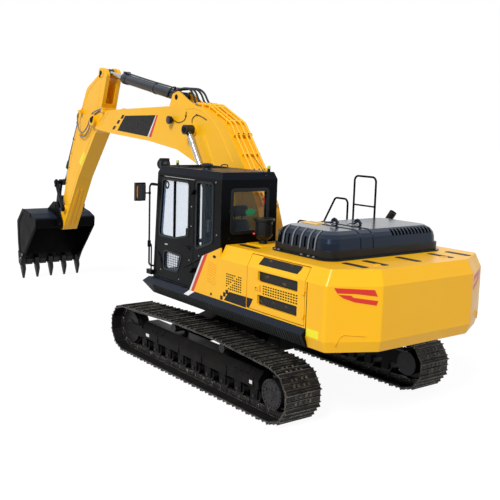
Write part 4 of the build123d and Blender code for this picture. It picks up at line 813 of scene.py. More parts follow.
yellow_paint = enamel("yellow_paint", linear(252, 188, 10), linear(248, 180, 12), linear(255, 206, 80),
                      linear(120, 104, 84), 0.36, coat=0.1, specular=0.35)
red_foil = flat_label("red_foil", linear(214, 40, 24), 0.35)
black_foil = flat_label("black_foil", linear(18, 18, 20), 0.5, specular=0.2)
dress(yellow_paint, "counterweight", "bodywork", "left_front_panel", "door_left", "door_right", "tank",
      "tool_box", "boom", "boom_pipes", "arm")

corner_along = np.array([*np.subtract(CW_TAIL, CW_CORNER), 0])
corner_along /= np.linalg.norm(corner_along)
corner_out = np.cross(corner_along, UP)
corner_out *= -np.sign(corner_out[0])
corner_axes = np.stack([corner_along, UP, corner_out])
corner_origin = (*CW_CORNER, 0)
mark_shapes = [solid(bar, -0.001, 0.0025, corner_axes, corner_origin) for bar in MARK_BARS]
piece("tail_marks", UPPER, red_foil, on_both(*mark_shapes))
seam = solid(oblong(CW_SEAM_X - 0.006, 1.34, CW_SEAM_X + 0.006, 2.03), 1.505, 1.5108)
piece("weight_seam", UPPER, black_paint, on_both(seam))
piece("weight_step", UPPER, yellow_paint,
      on_both(solid(STEP_LINE, -0.004, 0.012, corner_axes, corner_origin)), bevel=0.003)
collar_line = round_points(36)
eye_rings = [hollow(0.052 * collar_line, 0.0325 * collar_line, -0.001, 0.008, PLAN, (x, y, CW_TOP_Z))
             for x, y in EYE_SPOTS]
piece("lifting_collars", UPPER, yellow_paint, *eye_rings, bevel=0.002)
yellow_foil = flat_label("yellow_foil", linear(244, 232, 40), 0.4)
piece("tail_label", UPPER, yellow_foil, sheet_on(1.51, panel(-2.84, 1.35, -2.615, 1.45, 0.008)))


# Bodywork: pressed yellow panels bolted round the engine bay, with air holes punched in its side, drawn as
# patches of painted shade.
# A blank black band runs over the seam to the door, and grip strips lie on the top.
BODY_SIDE_Y = 1.51
SHOULDER = (BODY_SIDE_Y, 2.03)
TOP_EDGE = (BODY_SIDE_Y - 0.105, 2.225)
DOOR_SEAM_X = -1.356
PUNCH_ROWS, PUNCH_COLUMNS = 7, 8
PUNCH_CORNER = (-0.885, 1.64)
PUNCH_PITCH = (0.047, 0.034)
HOLE_SINK, HOLE_RISE = -0.001, 0.0012
BAND = [(-0.826, 1.457), (-0.942, 1.596), (DOOR_SEAM_X + 0.007, 1.6), (DOOR_SEAM_X + 0.007, 1.449)]
BAND_SQUARES = ((-0.892, 1.586), (-0.833, 1.539), (-0.763, 1.478))
TAIL_GRIP_X = -2.825
TAIL_GRIP_YS = (0.925, 0.565, -0.06, -0.715, -1.09)
BODY_TOP_Z = 2.225
TOP_BOLTS = [(x, y) for x in (-0.78, -1.1) for y in (-0.6, -0.2, 0.2, 0.6, 1.2)]


def capsule(length, width, steps=4):
    """An outline with two round ends."""
    a, b = length / 2, width / 2
    return panel(-a, -b, a, b, b, steps)


def square(x, z, half):
    return oblong(x - half, z - half, x + half, z + half)


column, row = np.meshgrid(np.arange(PUNCH_COLUMNS), np.arange(PUNCH_ROWS), indexing="ij")
punch_x = PUNCH_CORNER[0] - column * PUNCH_PITCH[0]
punch_z = PUNCH_CORNER[1] + row * PUNCH_PITCH[1] - column * 0.0005
kept = abs((punch_x + 1.0) + 1.1 * (punch_z - 1.73)) > 0.02
punch_spots = np.stack([punch_x[kept], np.full(kept.sum(), BODY_SIDE_Y), punch_z[kept]], axis=1)
# The punched holes are thin dark brown foils on the panel's face: painted shade where the openings would
# be.
hole = solid(capsule(0.04, 0.019, 2), HOLE_SINK, HOLE_RISE)
painted_hole_shade = flat_label("painted_hole_shade", linear(58, 42, 14), 0.6, specular=0.1)
piece("side_punches", UPPER, painted_hole_shade, copies(hole, punch_spots))
piece("side_band", UPPER, black_foil, sheet_on(BODY_SIDE_Y, BAND),
      *[sheet_on(BODY_SIDE_Y, square(x, z, 0.03)) for x, z in BAND_SQUARES])
piece("top_grips", UPPER, black_foil,
      *[top_strip(TAIL_GRIP_X, y, 0.41, 0.105, 0.02) for y in TAIL_GRIP_YS],
      *[top_strip(-0.98, y, 0.42, 0.105, 0) for y in (1.2, -1.2)])
piece("body_bolts", UPPER, black_paint,
      bolts([(x, y, BODY_TOP_Z) for x, y in TOP_BOLTS], UP, 0.01))


# Left front panel: a yellow steel plate behind the cab door, with a row of pressed louvres, each with a
# painted shadow strip under it.
# A white and a red stripe follow its sloping front edge, and a lock closes it at the bottom.
PANEL_STRIPES = (
    ("panel_stripe_white", white_foil,
     [(0.081, 1.438), (-0.242, 1.998), (-0.2955, 2.0255), (0.036, 1.438)]),
    ("panel_stripe_red", red_foil, [(0.034, 1.438), (-0.2975, 2.0265), (-0.389, 2.058), (-0.035, 1.438)]),
)
LOUVRES = 9
LOCK_SPOT = (-0.499, BODY_SIDE_Y, 1.482)
for name, foil, stripe in PANEL_STRIPES:
    piece(name, UPPER, foil, sheet_on(BODY_SIDE_Y, stripe), slot=name)
louvre = solid([(0.105, 0.034), (-0.105, -0.006), (-0.105, -0.014), (0.105, 0.022)], -0.001, 0.006)
spots = [(-0.497 - 0.0015 * i, BODY_SIDE_Y, 1.65 + 0.0355 * i) for i in range(LOUVRES)]
piece("panel_louvres", UPPER, yellow_paint, copies(louvre, spots), bevel=0.002)
# Thin brown-yellow foils just under each louvre are painted shadow.
shadow = solid([(0.105, 0.022), (-0.105, -0.014), (-0.105, -0.021), (0.105, 0.014)], HOLE_SINK, HOLE_RISE)
oval = (-0.562, 2.039) + (0.04, 0.022) * round_points(16)
lock = turned([(-0.002, 0.02), (0.005, 0.02), (0.007, 0.016)], LOCK_SPOT, LEFT, 16)
painted_louvre_shadow = flat_label("painted_louvre_shadow", linear(205, 150, 40), 0.5)
piece("louvre_shadows", UPPER, painted_louvre_shadow, copies(shadow, spots))
piece("panel_marks", UPPER, black_foil, sheet_on(BODY_SIDE_Y, oval), lock)


# Side doors: pressed doors that wrap over the shoulder, hinged at one end and latched at the other.
# Black punched sheet closes their air slots from inside, with four rows of long holes between them, drawn
# as patches of painted shade.
DOORS = (
    # name, body, side, front x, rear x, latch x, hinge end is the rear one
    ("left", "left_door", 1, -1.363, -2.555, -1.588, True),
    ("right", "right_door", -1, -0.9, -2.0, -1.85, False),
)
SLOT_LEVELS = ((1.545, 1.684), (1.864, 2.005))
HOLE_ROWS = (1.716, 1.75, 1.784, 1.818)
LATCH_FACE_Y = BODY_SIDE_Y + 0.016
DOOR_BAND = [(-1.366, 1.6), (-1.366, 1.468), (-1.425, 1.468), (-1.504, 1.601)]


def grown(outline, by):
    """An outline moved outward by a distance, square to its edges, with mitred corners."""
    spots = np.asarray(outline, float)
    edge = np.roll(spots, -1, axis=0) - spots
    turn = np.sign(np.sum(spots[:, 0] * np.roll(spots[:, 1], -1) - spots[:, 1] * np.roll(spots[:, 0], -1)))
    normal = turn * np.stack([edge[:, 1], -edge[:, 0]], axis=1) / np.linalg.norm(edge, axis=1)[:, None]
    before = np.roll(normal, 1, axis=0)
    return spots + by * (before + normal) / (1 + (before * normal).sum(axis=1))[:, None]


punched = Finish("punched_sheet", linear(20, 20, 21), 0.6, specular=0.3)
punched.layer(punched.between(punched.noise(7, 4, (1, 1, 3)), 0.6, 0.68, 0, 0.6), linear(120, 85, 30))
punched.bump(punched.noise(240, 1), 0.3, 0.002)
slope_side = np.sign(slope_frame(SHOULDER, TOP_EDGE)[0][2][1])
long_hole = solid(capsule(0.038, 0.018, 3), HOLE_SINK, HOLE_RISE)
for name, body, side, front, rear, latch_x, rear_hinge in DOORS:
    slot_front = front - (0.232 if rear_hinge else 0.137)
    slot_rear = rear + (0.137 if rear_hinge else 0.232)
    sheets = [box((slot_rear - 0.02, 1.47, low - 0.02), (slot_front + 0.02, 1.474, high + 0.02))
              for low, high in SLOT_LEVELS]
    low_front, low_rear = (0.203, 0.185) if rear_hinge else (0.185, 0.203)
    high_front, high_rear = (0.25, 0.135) if rear_hinge else (0.135, 0.25)
    shoulder_sheet = [(front - low_front, 0.063), (front - high_front, 0.178), (rear + high_rear, 0.178),
                      (rear + low_rear, 0.063)]
    sheets.append(on_slope(SHOULDER, TOP_EDGE, shoulder_sheet,
                           *sorted((-0.001 * slope_side, 0.002 * slope_side))))
    xs = np.arange(slot_rear + 0.012, slot_front - 0.09, 0.052)
    holes = copies(long_hole, [(x, BODY_SIDE_Y, z) for z in HOLE_ROWS for x in xs])
    latch = [
        solid(panel(latch_x - 0.05, 1.728, latch_x + 0.058, 1.816, 0.012), BODY_SIDE_Y - 0.001,
              BODY_SIDE_Y + 0.004),
        solid(panel(latch_x - 0.03, 1.744, latch_x + 0.044, 1.8, 0.012), BODY_SIDE_Y + 0.003, LATCH_FACE_Y),
    ]
    mark = sheet_on(BODY_SIDE_Y, oblong(latch_x - 0.074, 1.726, latch_x - 0.058, 1.816))
    place = joined if side == 1 else lambda shapes: mirrored(joined(shapes))
    piece("door_sheets_" + name, body, punched, place(sheets))
    # The long holes are thin dark foils on the door's face: painted shade.
    piece("door_holes_" + name, body, painted_hole_shade, place([holes]))
    keyhole = solid(capsule(0.03, 0.018), HOLE_SINK, HOLE_RISE, SIDE,
                    (latch_x + 0.008, LATCH_FACE_Y, 1.772))
    piece("door_latch_" + name, body, yellow_paint, place(latch), bevel=0.002)
    piece("door_keyhole_" + name, body, black_foil, place([keyhole]))
    piece("door_mark_" + name, body, red_foil, place([mark]))
piece("door_band_left", "left_door", black_foil, sheet_on(BODY_SIDE_Y, DOOR_BAND))


# Engine hood: one black moulded cover, hinged at its front edge and held down by two rubber latches.
# Two ribs frame a strap over its rear, and grey bars and a mesh guard the air slots.
HOOD_PATH = [(-2.485, 2.25), (-2.47, 2.44), (-2.454, 2.5), (-2.42, 2.55), (-2.355, 2.59), (-1.42, 2.59)]
HOOD_RIB_RISE = [(-0.008, 0), (-0.008, 0.002), (-0.007, 0.004), (-0.005, 0.007), (-0.002, 0.008),
                 (0, 0.008)]
HOOD_SIDE = [(1.052, 2.33), (1.041, 2.44), (1.024, 2.5), (0.99, 2.55), (0.925, 2.59)]
HOOD_FRONT_X, HOOD_REAR_X = -1.24, -2.53
HOOD_RIGHT_Y, HOOD_LEFT_Y = -1.17, 1.1
HOOD_RIB_YS = (0.235, 0.47)
GUARD_XS = (-1.55, -1.74, -1.91, -2.07, -2.2)
HOOD_LATCHES = ((-1.86, 0.4), (-2.09, 0.18))
HOOD_CLIP_XS = (-1.42, -1.5, -1.98, -2.12, -2.22)
SKIRT_INSET = 0.038
SKIRT_CUT = 0.2


def moulded(name, dark, pale, roughness, tint, specular=0.5):
    """Moulded plastic or rubber: a fine grain, pale dust in patches and a tinted sheen."""
    made = Finish(name, dark, roughness, specular=specular, slot="black_plastic")
    made.layer(made.between(made.noise(2, 4), 0.45, 0.7, 0, 0.4), pale)
    made.set("Specular Tint", tint)
    made.bump(made.noise(500, 1), 0.08, 0.0006)
    return made


def skirt_line(inset):
    """The hood's plan outline drawn in by an inset, with large round corners."""
    return panel(HOOD_REAR_X + inset, HOOD_RIGHT_Y + inset, HOOD_FRONT_X - inset, HOOD_LEFT_Y - inset,
                 SKIRT_CUT, 7)


black_plastic = moulded("black_plastic", linear(9, 10, 11), linear(16, 17, 19), 0.18,
                        (0.42, 0.62, 1.0, 1), 0.42)
# Painted sky reflection: the hood's up-facing faces turn bluish grey.
painted_sky_reflection(black_plastic, 0.6, linear(44, 54, 70))
cleaner_black = moulded("cleaner_black", linear(12, 12, 12), linear(22, 21, 19), 0.4,
                        (0.9, 0.95, 1.0, 1), 0.3)
grey_bar = flat_label("grey_bar", linear(112, 118, 128), 0.4)
mesh_grey = Finish("mesh_grey", linear(24, 25, 27), 0.6)
mesh_grey.layer(mesh_grey.between(mesh_grey.noise(120, 2), 0.5, 0.56), linear(108, 112, 114))
dress(black_plastic, "hood")
hood_path = np.array(HOOD_PATH)
outward = np.array(HOOD_RIB_RISE)
rib_line = np.concatenate([hood_path + outward, (hood_path - outward * 0.5)[::-1]])
piece("hood_ribs", HOOD, black_plastic,
      *[solid(rib_line, y - 0.014, y + 0.014) for y in HOOD_RIB_YS], bevel=0.003)
piece("hood_skirt", HOOD, cleaner_black,
      hollow(skirt_line(SKIRT_INSET), skirt_line(SKIRT_INSET + 0.06), 2.25, 2.352, PLAN), bevel=0.004)
guards = [pipe([(x, y + 0.006, z + 0.004) for y, z in HOOD_SIDE], 0.011, 8, 2) for x in GUARD_XS]
piece("hood_guards", HOOD, grey_bar, *guards)
piece("hood_mesh", HOOD, mesh_grey, box((-2.2, 0.996, 2.28), (-1.37, 1.0, 2.51)))
latches = []
for x, y in HOOD_LATCHES:
    latches.append(box((x - 0.035, y - 0.03, 2.588), (x + 0.035, y + 0.03, 2.606)))
    latches.append(pipe([(x - 0.055, y, 2.6), (x - 0.045, y, 2.66), (x + 0.01, y, 2.69),
                         (x + 0.05, y, 2.65)], 0.02, 8))
    latches.append(pipe([(x, y - 0.075, 2.63), (x, y, 2.665), (x, y + 0.075, 2.63)], 0.014, 8))
    latches.append(pipe([(x + 0.02, y - 0.06, 2.592), (x + 0.14, y - 0.07, 2.625), (x + 0.2, y, 2.6),
                         (x + 0.14, y + 0.07, 2.592)], 0.006, 6))
piece("hood_latches", HOOD, black_plastic, *latches)
piece("hood_plate", HOOD, yellow_paint, box((-1.7, 0.36, 2.588), (-1.34, 0.6, 2.596)), bevel=0.003)
clips = [box((x - 0.018, 1.078, 2.243), (x + 0.018, 1.098, 2.262)) for x in HOOD_CLIP_XS]
piece("hood_clips", HOOD, grey_bar, *clips, bevel=0.002)


# Engine, pre-cleaner and exhaust: the engine is one plain block under the hood.
# The pre-cleaner's bowl is held by a clamp band, and the steel pipe has browned from the heat.
CLEANER = (-0.89, 0.88)
PIPE_FOOT = (-1.23, -1.32)
CLEANER_PROFILE = [(2.226, 0.085), (2.24, 0.062), (2.29, 0.06), (2.31, 0.1), (2.34, 0.118), (2.36, 0.125),
                   (2.56, 0.125), (2.572, 0.156), (2.596, 0.158), (2.606, 0.15), (2.61, 0.12)]
engine_iron = Finish("engine_iron", linear(110, 112, 116), 0.6, metallic=0.3)
engine_iron.bump(engine_iron.noise(90, 3), 0.2, 0.002)
heat_steel = worn_steel("heat_steel", linear(30, 30, 32), linear(96, 90, 84), 0.006)
heat_steel.layer(heat_steel.between(heat_steel.noise(5, 4), 0.5, 0.7, 0, 0.6), linear(70, 50, 38))
dress(engine_iron, "engine")
dress(heat_steel, "exhaust")
fin_places = np.column_stack([CLEANER + 0.125 * round_points(24), np.full(24, 2.375)])
fin = turned([(0, 0.005), (0.145, 0.005)], ORIGIN, UP, 6)
clamp = turned([(0, 0.126), (0.004, 0.132), (0.018, 0.132), (0.022, 0.126)], (*CLEANER, 2.35), UP, 40)
drum = piece("cleaner_drum", UPPER, cleaner_black,
             turned(CLEANER_PROFILE, (*CLEANER, 0), UP, 48), copies(fin, fin_places), clamp)
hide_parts("pre_cleaner")
piece("cleaner_knob", UPPER, red_foil,
      turned([(0, 0.016), (0.03, 0.016), (0.038, 0.01)], (CLEANER[0] + 0.085, CLEANER[1] + 0.085, 2.372),
             (0.7, 0.7, 0), 12))
piece("cleaner_base", UPPER, yellow_paint,
      box((-1.07, 0.72, 2.223), (-0.72, 1.06, 2.236)), bevel=0.003)
piece("pipe_clamp", UPPER, black_paint,
      turned([(0, 0.06), (0.003, 0.068), (0.03, 0.068), (0.033, 0.06)], (*PIPE_FOOT, 2.33), UP, 28),
      bolts([(PIPE_FOOT[0] - 0.075, PIPE_FOOT[1], 2.345)], BACK, 0.01))


# Tank, tool box and handrails on the right: welded yellow boxes, steps with grip bars, bent black tube.
# The tank has a filler cap, the tool box two lids with handles, and each rail foot is bolted down.
TANK_SIDE_Y = -1.51
BOX_SIDE_Y = -1.48
RAIL_Y = -1.25
RAIL_FEET = ((-1.02, 2.225), (-0.54, 2.225), (-0.4, 2.225), (0.23, 2.225), (0.4, 1.98), (0.85, 1.98))
dress(black_paint, "handrails")
foot = turned([(-0.002, 0.042), (0.008, 0.042), (0.011, 0.036)], ORIGIN, UP, 20)
feet = [copies(foot, beside(RAIL_FEET, RAIL_Y))]
feet.append(bolts([(x + dx, RAIL_Y, z + 0.01) for x, z in RAIL_FEET for dx in (-0.03, 0.03)], UP, 0.007))
piece("rail_feet", UPPER, black_paint, *feet)
FILLER = [(-0.002, 0.075), (0.02, 0.075), (0.02, 0.06), (0.055, 0.06), (0.062, 0.052)]
piece("filler_cap", UPPER, black_paint, turned(FILLER, (-0.15, -0.85, 2.225), UP, 32),
      box((-0.2, -0.858, 2.28), (-0.1, -0.842, 2.302)), bevel=0.002)
piece("tank_grips", UPPER, black_foil, top_strip(-0.45, -0.95, 0.36, 0.1, 1.57),
      top_strip(0.1, -0.85, 0.36, 0.1, 1.57), top_strip(0.62, -0.95, 0.36, 0.1, 1.57, 1.98))
seams = []
for corners, y in (((-0.62, 1.52, 0.25, 1.98), TANK_SIDE_Y), ((0.38, 1.5, 0.86, 1.93), BOX_SIDE_Y)):
    lid = oblong(*corners)
    seams.append(hollow(lid, grown(lid, -0.006), y - 0.0012, y + 0.001))
piece("lid_seams", UPPER, black_foil, *seams)
handles = []
for x, y in ((-0.18, TANK_SIDE_Y), (0.62, BOX_SIDE_Y)):
    handles.append(solid(panel(x - 0.05, 1.6, x + 0.05, 1.68, 0.01), y - 0.008, y + 0.002))
    handles.append(solid(panel(x - 0.03, 1.615, x + 0.03, 1.665, 0.01), y - 0.02, y - 0.006))
piece("lid_handles", UPPER, black_paint, *handles, bevel=0.002)
piece("step_grips", UPPER, black_paint, tread_bars(0.93, 1.07, -1.44, -0.62, 1.7),
      tread_bars(0.5, 0.82, -1.1, -0.62, 1.98))


# Cab: a welded black steel frame with rubber seals round bonded windows.
# Its roof has a hatch, and a small panel, bolts and a stay are fixed to its left side.
CAB_SIDE_Y = 1.472
CAB_RIGHT_Y = 0.464
CAB_REAR_X = -0.655
CAB_TOP_Z = 3.252
SEAL_WIDTH = 0.026
SIDE_WINDOWS = (
    # name, body, y of the wall's face, way out, corners (x, z, cut)
    ("door_upper", CAB_DOOR, CAB_SIDE_Y, 1,
     [(1.05, 2.16, 0.06), (0.951, 3.045, 0.06), (0.205, 3.045, 0.06), (0.215, 2.25, 0.06),
      (0.6, 2.165, 0.06)]),
    ("door_lower", CAB_DOOR, CAB_SIDE_Y, 1,
     [(0.9, 1.64, 0.05), (0.89, 1.92, 0.05), (0.39, 1.9, 0.05), (0.5, 1.65, 0.05)]),
    ("rear_side", UPPER, CAB_SIDE_Y, 1,
     [(-0.02, 2.085, 0.05), (-0.02, 3.07, 0.05), (-0.43, 3.07, 0.05), (-0.435, 2.24, 0.05)]),
    ("right_upper", UPPER, CAB_RIGHT_Y, -1,
     [(1.08, 1.9, 0.06), (1.0, 3.03, 0.06), (-0.5, 3.03, 0.06), (-0.5, 1.9, 0.06)]),
)
REAR_WINDOW = (0.66, 2.4, 1.27, 2.98, 0.03)
ROOF_HATCH = (0.43, 0.64, 0.98, 1.3, 0.05)
FRONT_WINDOWS = ((1.56, 1.96), (2.01, 3.09))
FRONT_WINDOW_YS = (0.544, 1.392)
FRONT_LEAN = (1.24 - 1.12) / (3.148 - DECK_TOP)
LEAN_COS = 1 / math.hypot(1, FRONT_LEAN)
LEAN = np.array([(0, 1.0, 0), (-FRONT_LEAN * LEAN_COS, 0, LEAN_COS), (LEAN_COS, 0, FRONT_LEAN * LEAN_COS)])
LEAN_FOOT = (1.24, 0, DECK_TOP)
AERIAL_FOOT = (-0.628, 0.668, 3.185)
AERIAL_ROUTE = [(-0.635, 0.668, 3.19), (-0.632, 0.7, 3.24), (-0.62, 0.8, 3.372), (-0.61, 0.906, 3.484)]


def seal(line, low, high, axes=SIDE, origin=ORIGIN, width=SEAL_WIDTH):
    """A rubber seal that laps a window's edge inward and the wall round it outward."""
    return hollow(grown(line, width), grown(line, -0.005), low, high, axes, origin)


def cab_strip(x0, z0, x1, z1, rise):
    """A flat strip on the cab's left wall."""
    return box((x0, CAB_SIDE_Y - 0.002, z0), (x1, CAB_SIDE_Y + rise, z1))


def bar(start, end, radius, sides=8):
    """A straight round bar between two points."""
    return tube(np.linspace(start, end, 3), radius, sides)


def clear_glass(name, tint, specular, alpha):
    """Thin tinted glass: mostly see-through, with faint streaks in its gloss."""
    glass = Finish(name, tint, 0.03, specular=specular)
    glass.set("Alpha", alpha)
    glass.roughen(glass.noise(3, 2), 0.015, 0.05)
    return glass


rubber = moulded("rubber", linear(9, 9, 10), linear(20, 20, 21), 0.5, (0.8, 0.9, 1.0, 1), 0.35)
window_glass = clear_glass("window_glass", linear(70, 90, 105), 0.35, 0.1)
door_glass = clear_glass("door_glass", linear(170, 205, 245), 0.45, 0.16)
bare_steel = worn_steel("bare_steel", linear(150, 152, 156), linear(206, 208, 210), 0.004)
green_foil = flat_label("green_foil", linear(24, 150, 88), 0.4)
dress(black_paint, "cab_shell", "cab_door")
dress(window_glass, "cab_glazing")
dress(door_glass, "cab_door_glass")
for name, body, y, out, corners in SIDE_WINDOWS:
    low, high = sorted((y - out * 0.004, y + out * 0.008))
    piece("seal_" + name, body, rubber, seal(rounded(corners, 5), low, high), bevel=0.003)
piece("seal_rear", UPPER, rubber,
      seal(panel(*REAR_WINDOW, 5), CAB_REAR_X - 0.01, CAB_REAR_X + 0.004, FRONT, width=0.045), bevel=0.004)
front_seals = []
for low, high in FRONT_WINDOWS:
    foot_up, top_up = (low - DECK_TOP) / LEAN_COS, (high - DECK_TOP) / LEAN_COS
    window = panel(FRONT_WINDOW_YS[0], foot_up, FRONT_WINDOW_YS[1], top_up, 0.03, 5)
    front_seals.append(seal(window, -0.004, 0.008, LEAN, LEAN_FOOT))
piece("seal_front", UPPER, rubber, *front_seals, bevel=0.003)
piece("roof_hatch", UPPER, rubber,
      seal(panel(*ROOF_HATCH, 5), CAB_TOP_Z - 0.004, CAB_TOP_Z + 0.016, PLAN, width=0.03),
      pipe([(0.53, 0.54, CAB_TOP_Z), (0.53, 0.54, 3.295), (0.53, 0.67, 3.295), (0.53, 0.67, CAB_TOP_Z)],
           0.009, 8),
      bevel=0.003)
shell_parts = [
    cab_strip(-0.475, 2.2, -0.463, 3.12, 0.004),
    cab_strip(-0.652, 2.3, -0.64, 3.12, 0.003),
    box((0.99, 0.49, 1.5), (1.1, 0.64, 3.16)),
    box((-0.595, 0.53, 1.5), (-0.56, 1.4, 2.36)),
    bar((-0.184, 1.478, 1.961), (0.03, 1.49, 1.868), 0.01),
    box((-0.6, 1.3, 2.36), (-0.575, 1.4, 3.14)),
]
piece("cab_trim", UPPER, black_paint, *shell_parts, bevel=0.003)
shell_bolts = [(-0.507, CAB_SIDE_Y, 3.104), (-0.55, CAB_SIDE_Y, 2.35), (-0.1, CAB_SIDE_Y, 1.98)]
piece("cab_bolts", UPPER, bare_steel, bolts(shell_bolts, LEFT, 0.009))
piece("rear_bolts", UPPER, black_paint,
      bolts([(CAB_REAR_X, y, z) for y in (0.6, 1.33) for z in (2.3, 2.7, 3.06)], BACK, 0.009))
piece("escape_hammer", UPPER, red_foil, bar((-0.6, 0.668, 2.86), (-0.6, 0.606, 2.63), 0.016),
      bar((-0.6, 0.63, 2.865), (-0.6, 0.706, 2.845), 0.012))
piece("exit_sign", UPPER, green_foil,
      solid((0.925, 2.668) + (0.092, 0.052) * round_points(16), -0.6165, -0.615, FRONT))
piece("aerial", UPPER, rubber, pipe(AERIAL_ROUTE, 0.0045, 6, 2),
      turned([(-0.01, 0.016), (0.02, 0.014), (0.028, 0.006)], AERIAL_FOOT, (-0.5, 0.1, 0.86), 12))
wiper = [bar((1.215, 0.7, 2.03), (1.186, 0.67, 2.42), 0.008),
         bar((1.21, 0.66, 2.08), (1.164, 0.66, 2.74), 0.01),
         turned([(-0.02, 0.03), (0.02, 0.03), (0.026, 0.022)], (1.208, 0.7, 2.01), (1, 0, 0.07), 14)]
piece("wiper", UPPER, rubber, *wiper)


# Cab door: a framed steel door with a sliding window, hinged at its rear edge.
# It carries a divider, a handle inside the glass, a grab rod and a guard mesh on its lower window.
DOOR_SCREWS = ((0.131, 2.901), (0.124, 2.695), (0.124, 2.4), (0.167, 1.874), (0.162, 1.71), (1.0, 1.6),
               (0.45, 1.53))
RING_SPOT = (0.866, 2.965)
MESH_Y = 1.452
door_parts = [
    box((0.61, CAB_SIDE_Y - 0.03, 2.15), (0.636, CAB_SIDE_Y + 0.006, 3.05)),
    box((0.206, 1.425, 2.48), (0.236, 1.455, 2.555)),
    box((0.262, 1.425, 2.245), (0.296, 1.46, 2.35)),
    turned([(0, 0.042), (0.016, 0.042), (0.022, 0.03)], (0.272, 1.44, 2.235), LEFT, 20),
    bar((0.085, 1.482, 1.842), (0.319, 1.48, 1.742), 0.01),
    cab_strip(0.15, 2.02, 0.27, 2.11, 0.006),
    pipe([(0.17, CAB_SIDE_Y, 2.05), (0.17, CAB_SIDE_Y + 0.03, 2.055), (0.25, CAB_SIDE_Y + 0.03, 2.075),
          (0.25, CAB_SIDE_Y, 2.08)], 0.008, 8),
    pipe([(1.11, CAB_SIDE_Y, 1.88), (1.075, CAB_SIDE_Y + 0.012, 1.86), (0.985, CAB_SIDE_Y + 0.012, 1.76),
          (0.945, CAB_SIDE_Y, 1.63)], 0.009, 8),
    cab_strip(0.3, 2.08, 1.06, 2.088, 0.004),
    cab_strip(0.12, 1.52, 1.11, 1.528, 0.004),
]
piece("door_fittings", CAB_DOOR, black_paint, *door_parts, bevel=0.002)
ring = round_points(20)
piece("door_ring", CAB_DOOR, rubber,
      hollow(RING_SPOT + ring * (0.058, 0.062), RING_SPOT + ring * (0.034, 0.038), 1.448, 1.458))
piece("door_screws", CAB_DOOR, bare_steel,
      bolts([(x, CAB_SIDE_Y, z) for x, z in DOOR_SCREWS], LEFT, 0.0085))
piece("door_tab", CAB_DOOR, white_foil,
      sheet_on(CAB_SIDE_Y, [(0.88, 2.02), (0.8, 2.026), (0.8, 2.04), (0.88, 2.034)]))
guard_mesh = [bar((x, MESH_Y, 1.64), (x, MESH_Y, 1.93), 0.0035, 6) for x in np.arange(0.42, 0.9, 0.055)]
guard_mesh += [bar((0.4, MESH_Y, z), (0.905, MESH_Y, z), 0.0035, 6) for z in np.arange(1.66, 1.93, 0.038)]
piece("guard_mesh", CAB_DOOR, black_paint, *guard_mesh)
piece("guard_panel", CAB_DOOR, rubber,
      solid([(0.58, 1.63), (0.38, 1.63), (0.38, 1.93), (0.5, 1.93)], 1.438, 1.442))


# Seat: a sprung base with rubber bellows under foam cushions in dark grey woven fabric.
# The cushion, back and headrest are swollen by cloth under air pressure, then stand still.
SEAT_Y = 0.968
SEAT_PADS = (
    # name, middle (x, z), half sizes with the thickness last, turn in side view
    ("seat_cushion", (-0.045, 1.9), (0.29, 0.238, 0.06), 0.06),
    ("seat_back", (-0.352, 2.255), (0.305, 0.232, 0.062), 1.69),
    ("seat_headrest", (-0.402, 2.662), (0.088, 0.15, 0.046), 1.69),
)
PAD_VOXEL = 0.01
PAD_SIDES = 40
PAD_CAP = 0.014
PAD_FRAMES = 20
PAD_PRESSURE = 4

seat_fabric = Finish("seat_fabric", linear(28, 30, 34), 0.85)
seat_fabric.layer(seat_fabric.between(seat_fabric.noise(420, 2), 0.4, 0.62, 0, 0.7), linear(48, 50, 54))
seat_fabric.bump(seat_fabric.noise(420, 2), 0.4, 0.001)
seat_fabric.set("Sheen Weight", 0.3)


def pad_form(middle, halves, turn):
    """A pad: rings of a rounded square, drawn in by a tilt's cosine and lifted by its sine."""
    tilt = np.linspace(-np.pi / 2, np.pi / 2, 15)
    wave = round_points(PAD_SIDES)
    plan = np.sign(wave) * abs(wave) ** 0.45
    width = np.cos(tilt) ** 0.35
    width[[0, -1]] = 0.05
    height = np.sign(tilt) * abs(np.sin(tilt)) ** 0.8
    flat = plan[None] * width[:, None, None]
    crown = height[:, None] * (1 - 0.18 * (flat ** 2).sum(axis=2))
    local = np.concatenate([flat, crown[..., None]], axis=-1).reshape(-1, 3) * halves
    axes = np.array([(math.cos(turn), 0, math.sin(turn)), LEFT, (-math.sin(turn), 0, math.cos(turn))])
    return skin(local @ axes + (middle[0], SEAT_Y, middle[1]), len(tilt), PAD_SIDES)


def swollen(pad):
    """Blows a closed pad up as cloth, and keeps each point within a cap of where it was."""
    bpy.context.view_layer.objects.active = pad
    remesh = pad.modifiers.new("even_faces", "REMESH")
    remesh.mode = "VOXEL"
    remesh.voxel_size = PAD_VOXEL
    depsgraph = bpy.context.evaluated_depsgraph_get()
    even = bpy.data.meshes.new_from_object(pad.evaluated_get(depsgraph))
    pad.modifiers.clear()
    finish = pad.data.materials[0]
    pad.data = even
    even.materials.clear()
    even.materials.append(finish)
    start = np.empty(3 * len(even.vertices), np.float32)
    even.vertices.foreach_get("co", start)
    cloth = pad.modifiers.new("air", "CLOTH")
    cloth.settings.use_pressure = True
    cloth.settings.uniform_pressure_force = PAD_PRESSURE
    cloth.settings.effector_weights.gravity = 0
    for step in range(1, PAD_FRAMES + 1):
        bpy.context.scene.frame_set(step)
    blown = pad.evaluated_get(bpy.context.evaluated_depsgraph_get()).to_mesh()
    end = np.empty_like(start)
    blown.vertices.foreach_get("co", end)
    move = (end - start).reshape(-1, 3)
    far = np.linalg.norm(move, axis=1)[:, None]
    kept = start.reshape(-1, 3) + move * np.minimum(1, PAD_CAP / np.maximum(far, 1e-9))
    pad.modifiers.clear()
    even.vertices.foreach_set("co", kept.astype(np.float32).ravel())
    even.polygons.foreach_set("use_smooth", np.ones(len(even.polygons), bool))
    bpy.context.scene.frame_set(1)


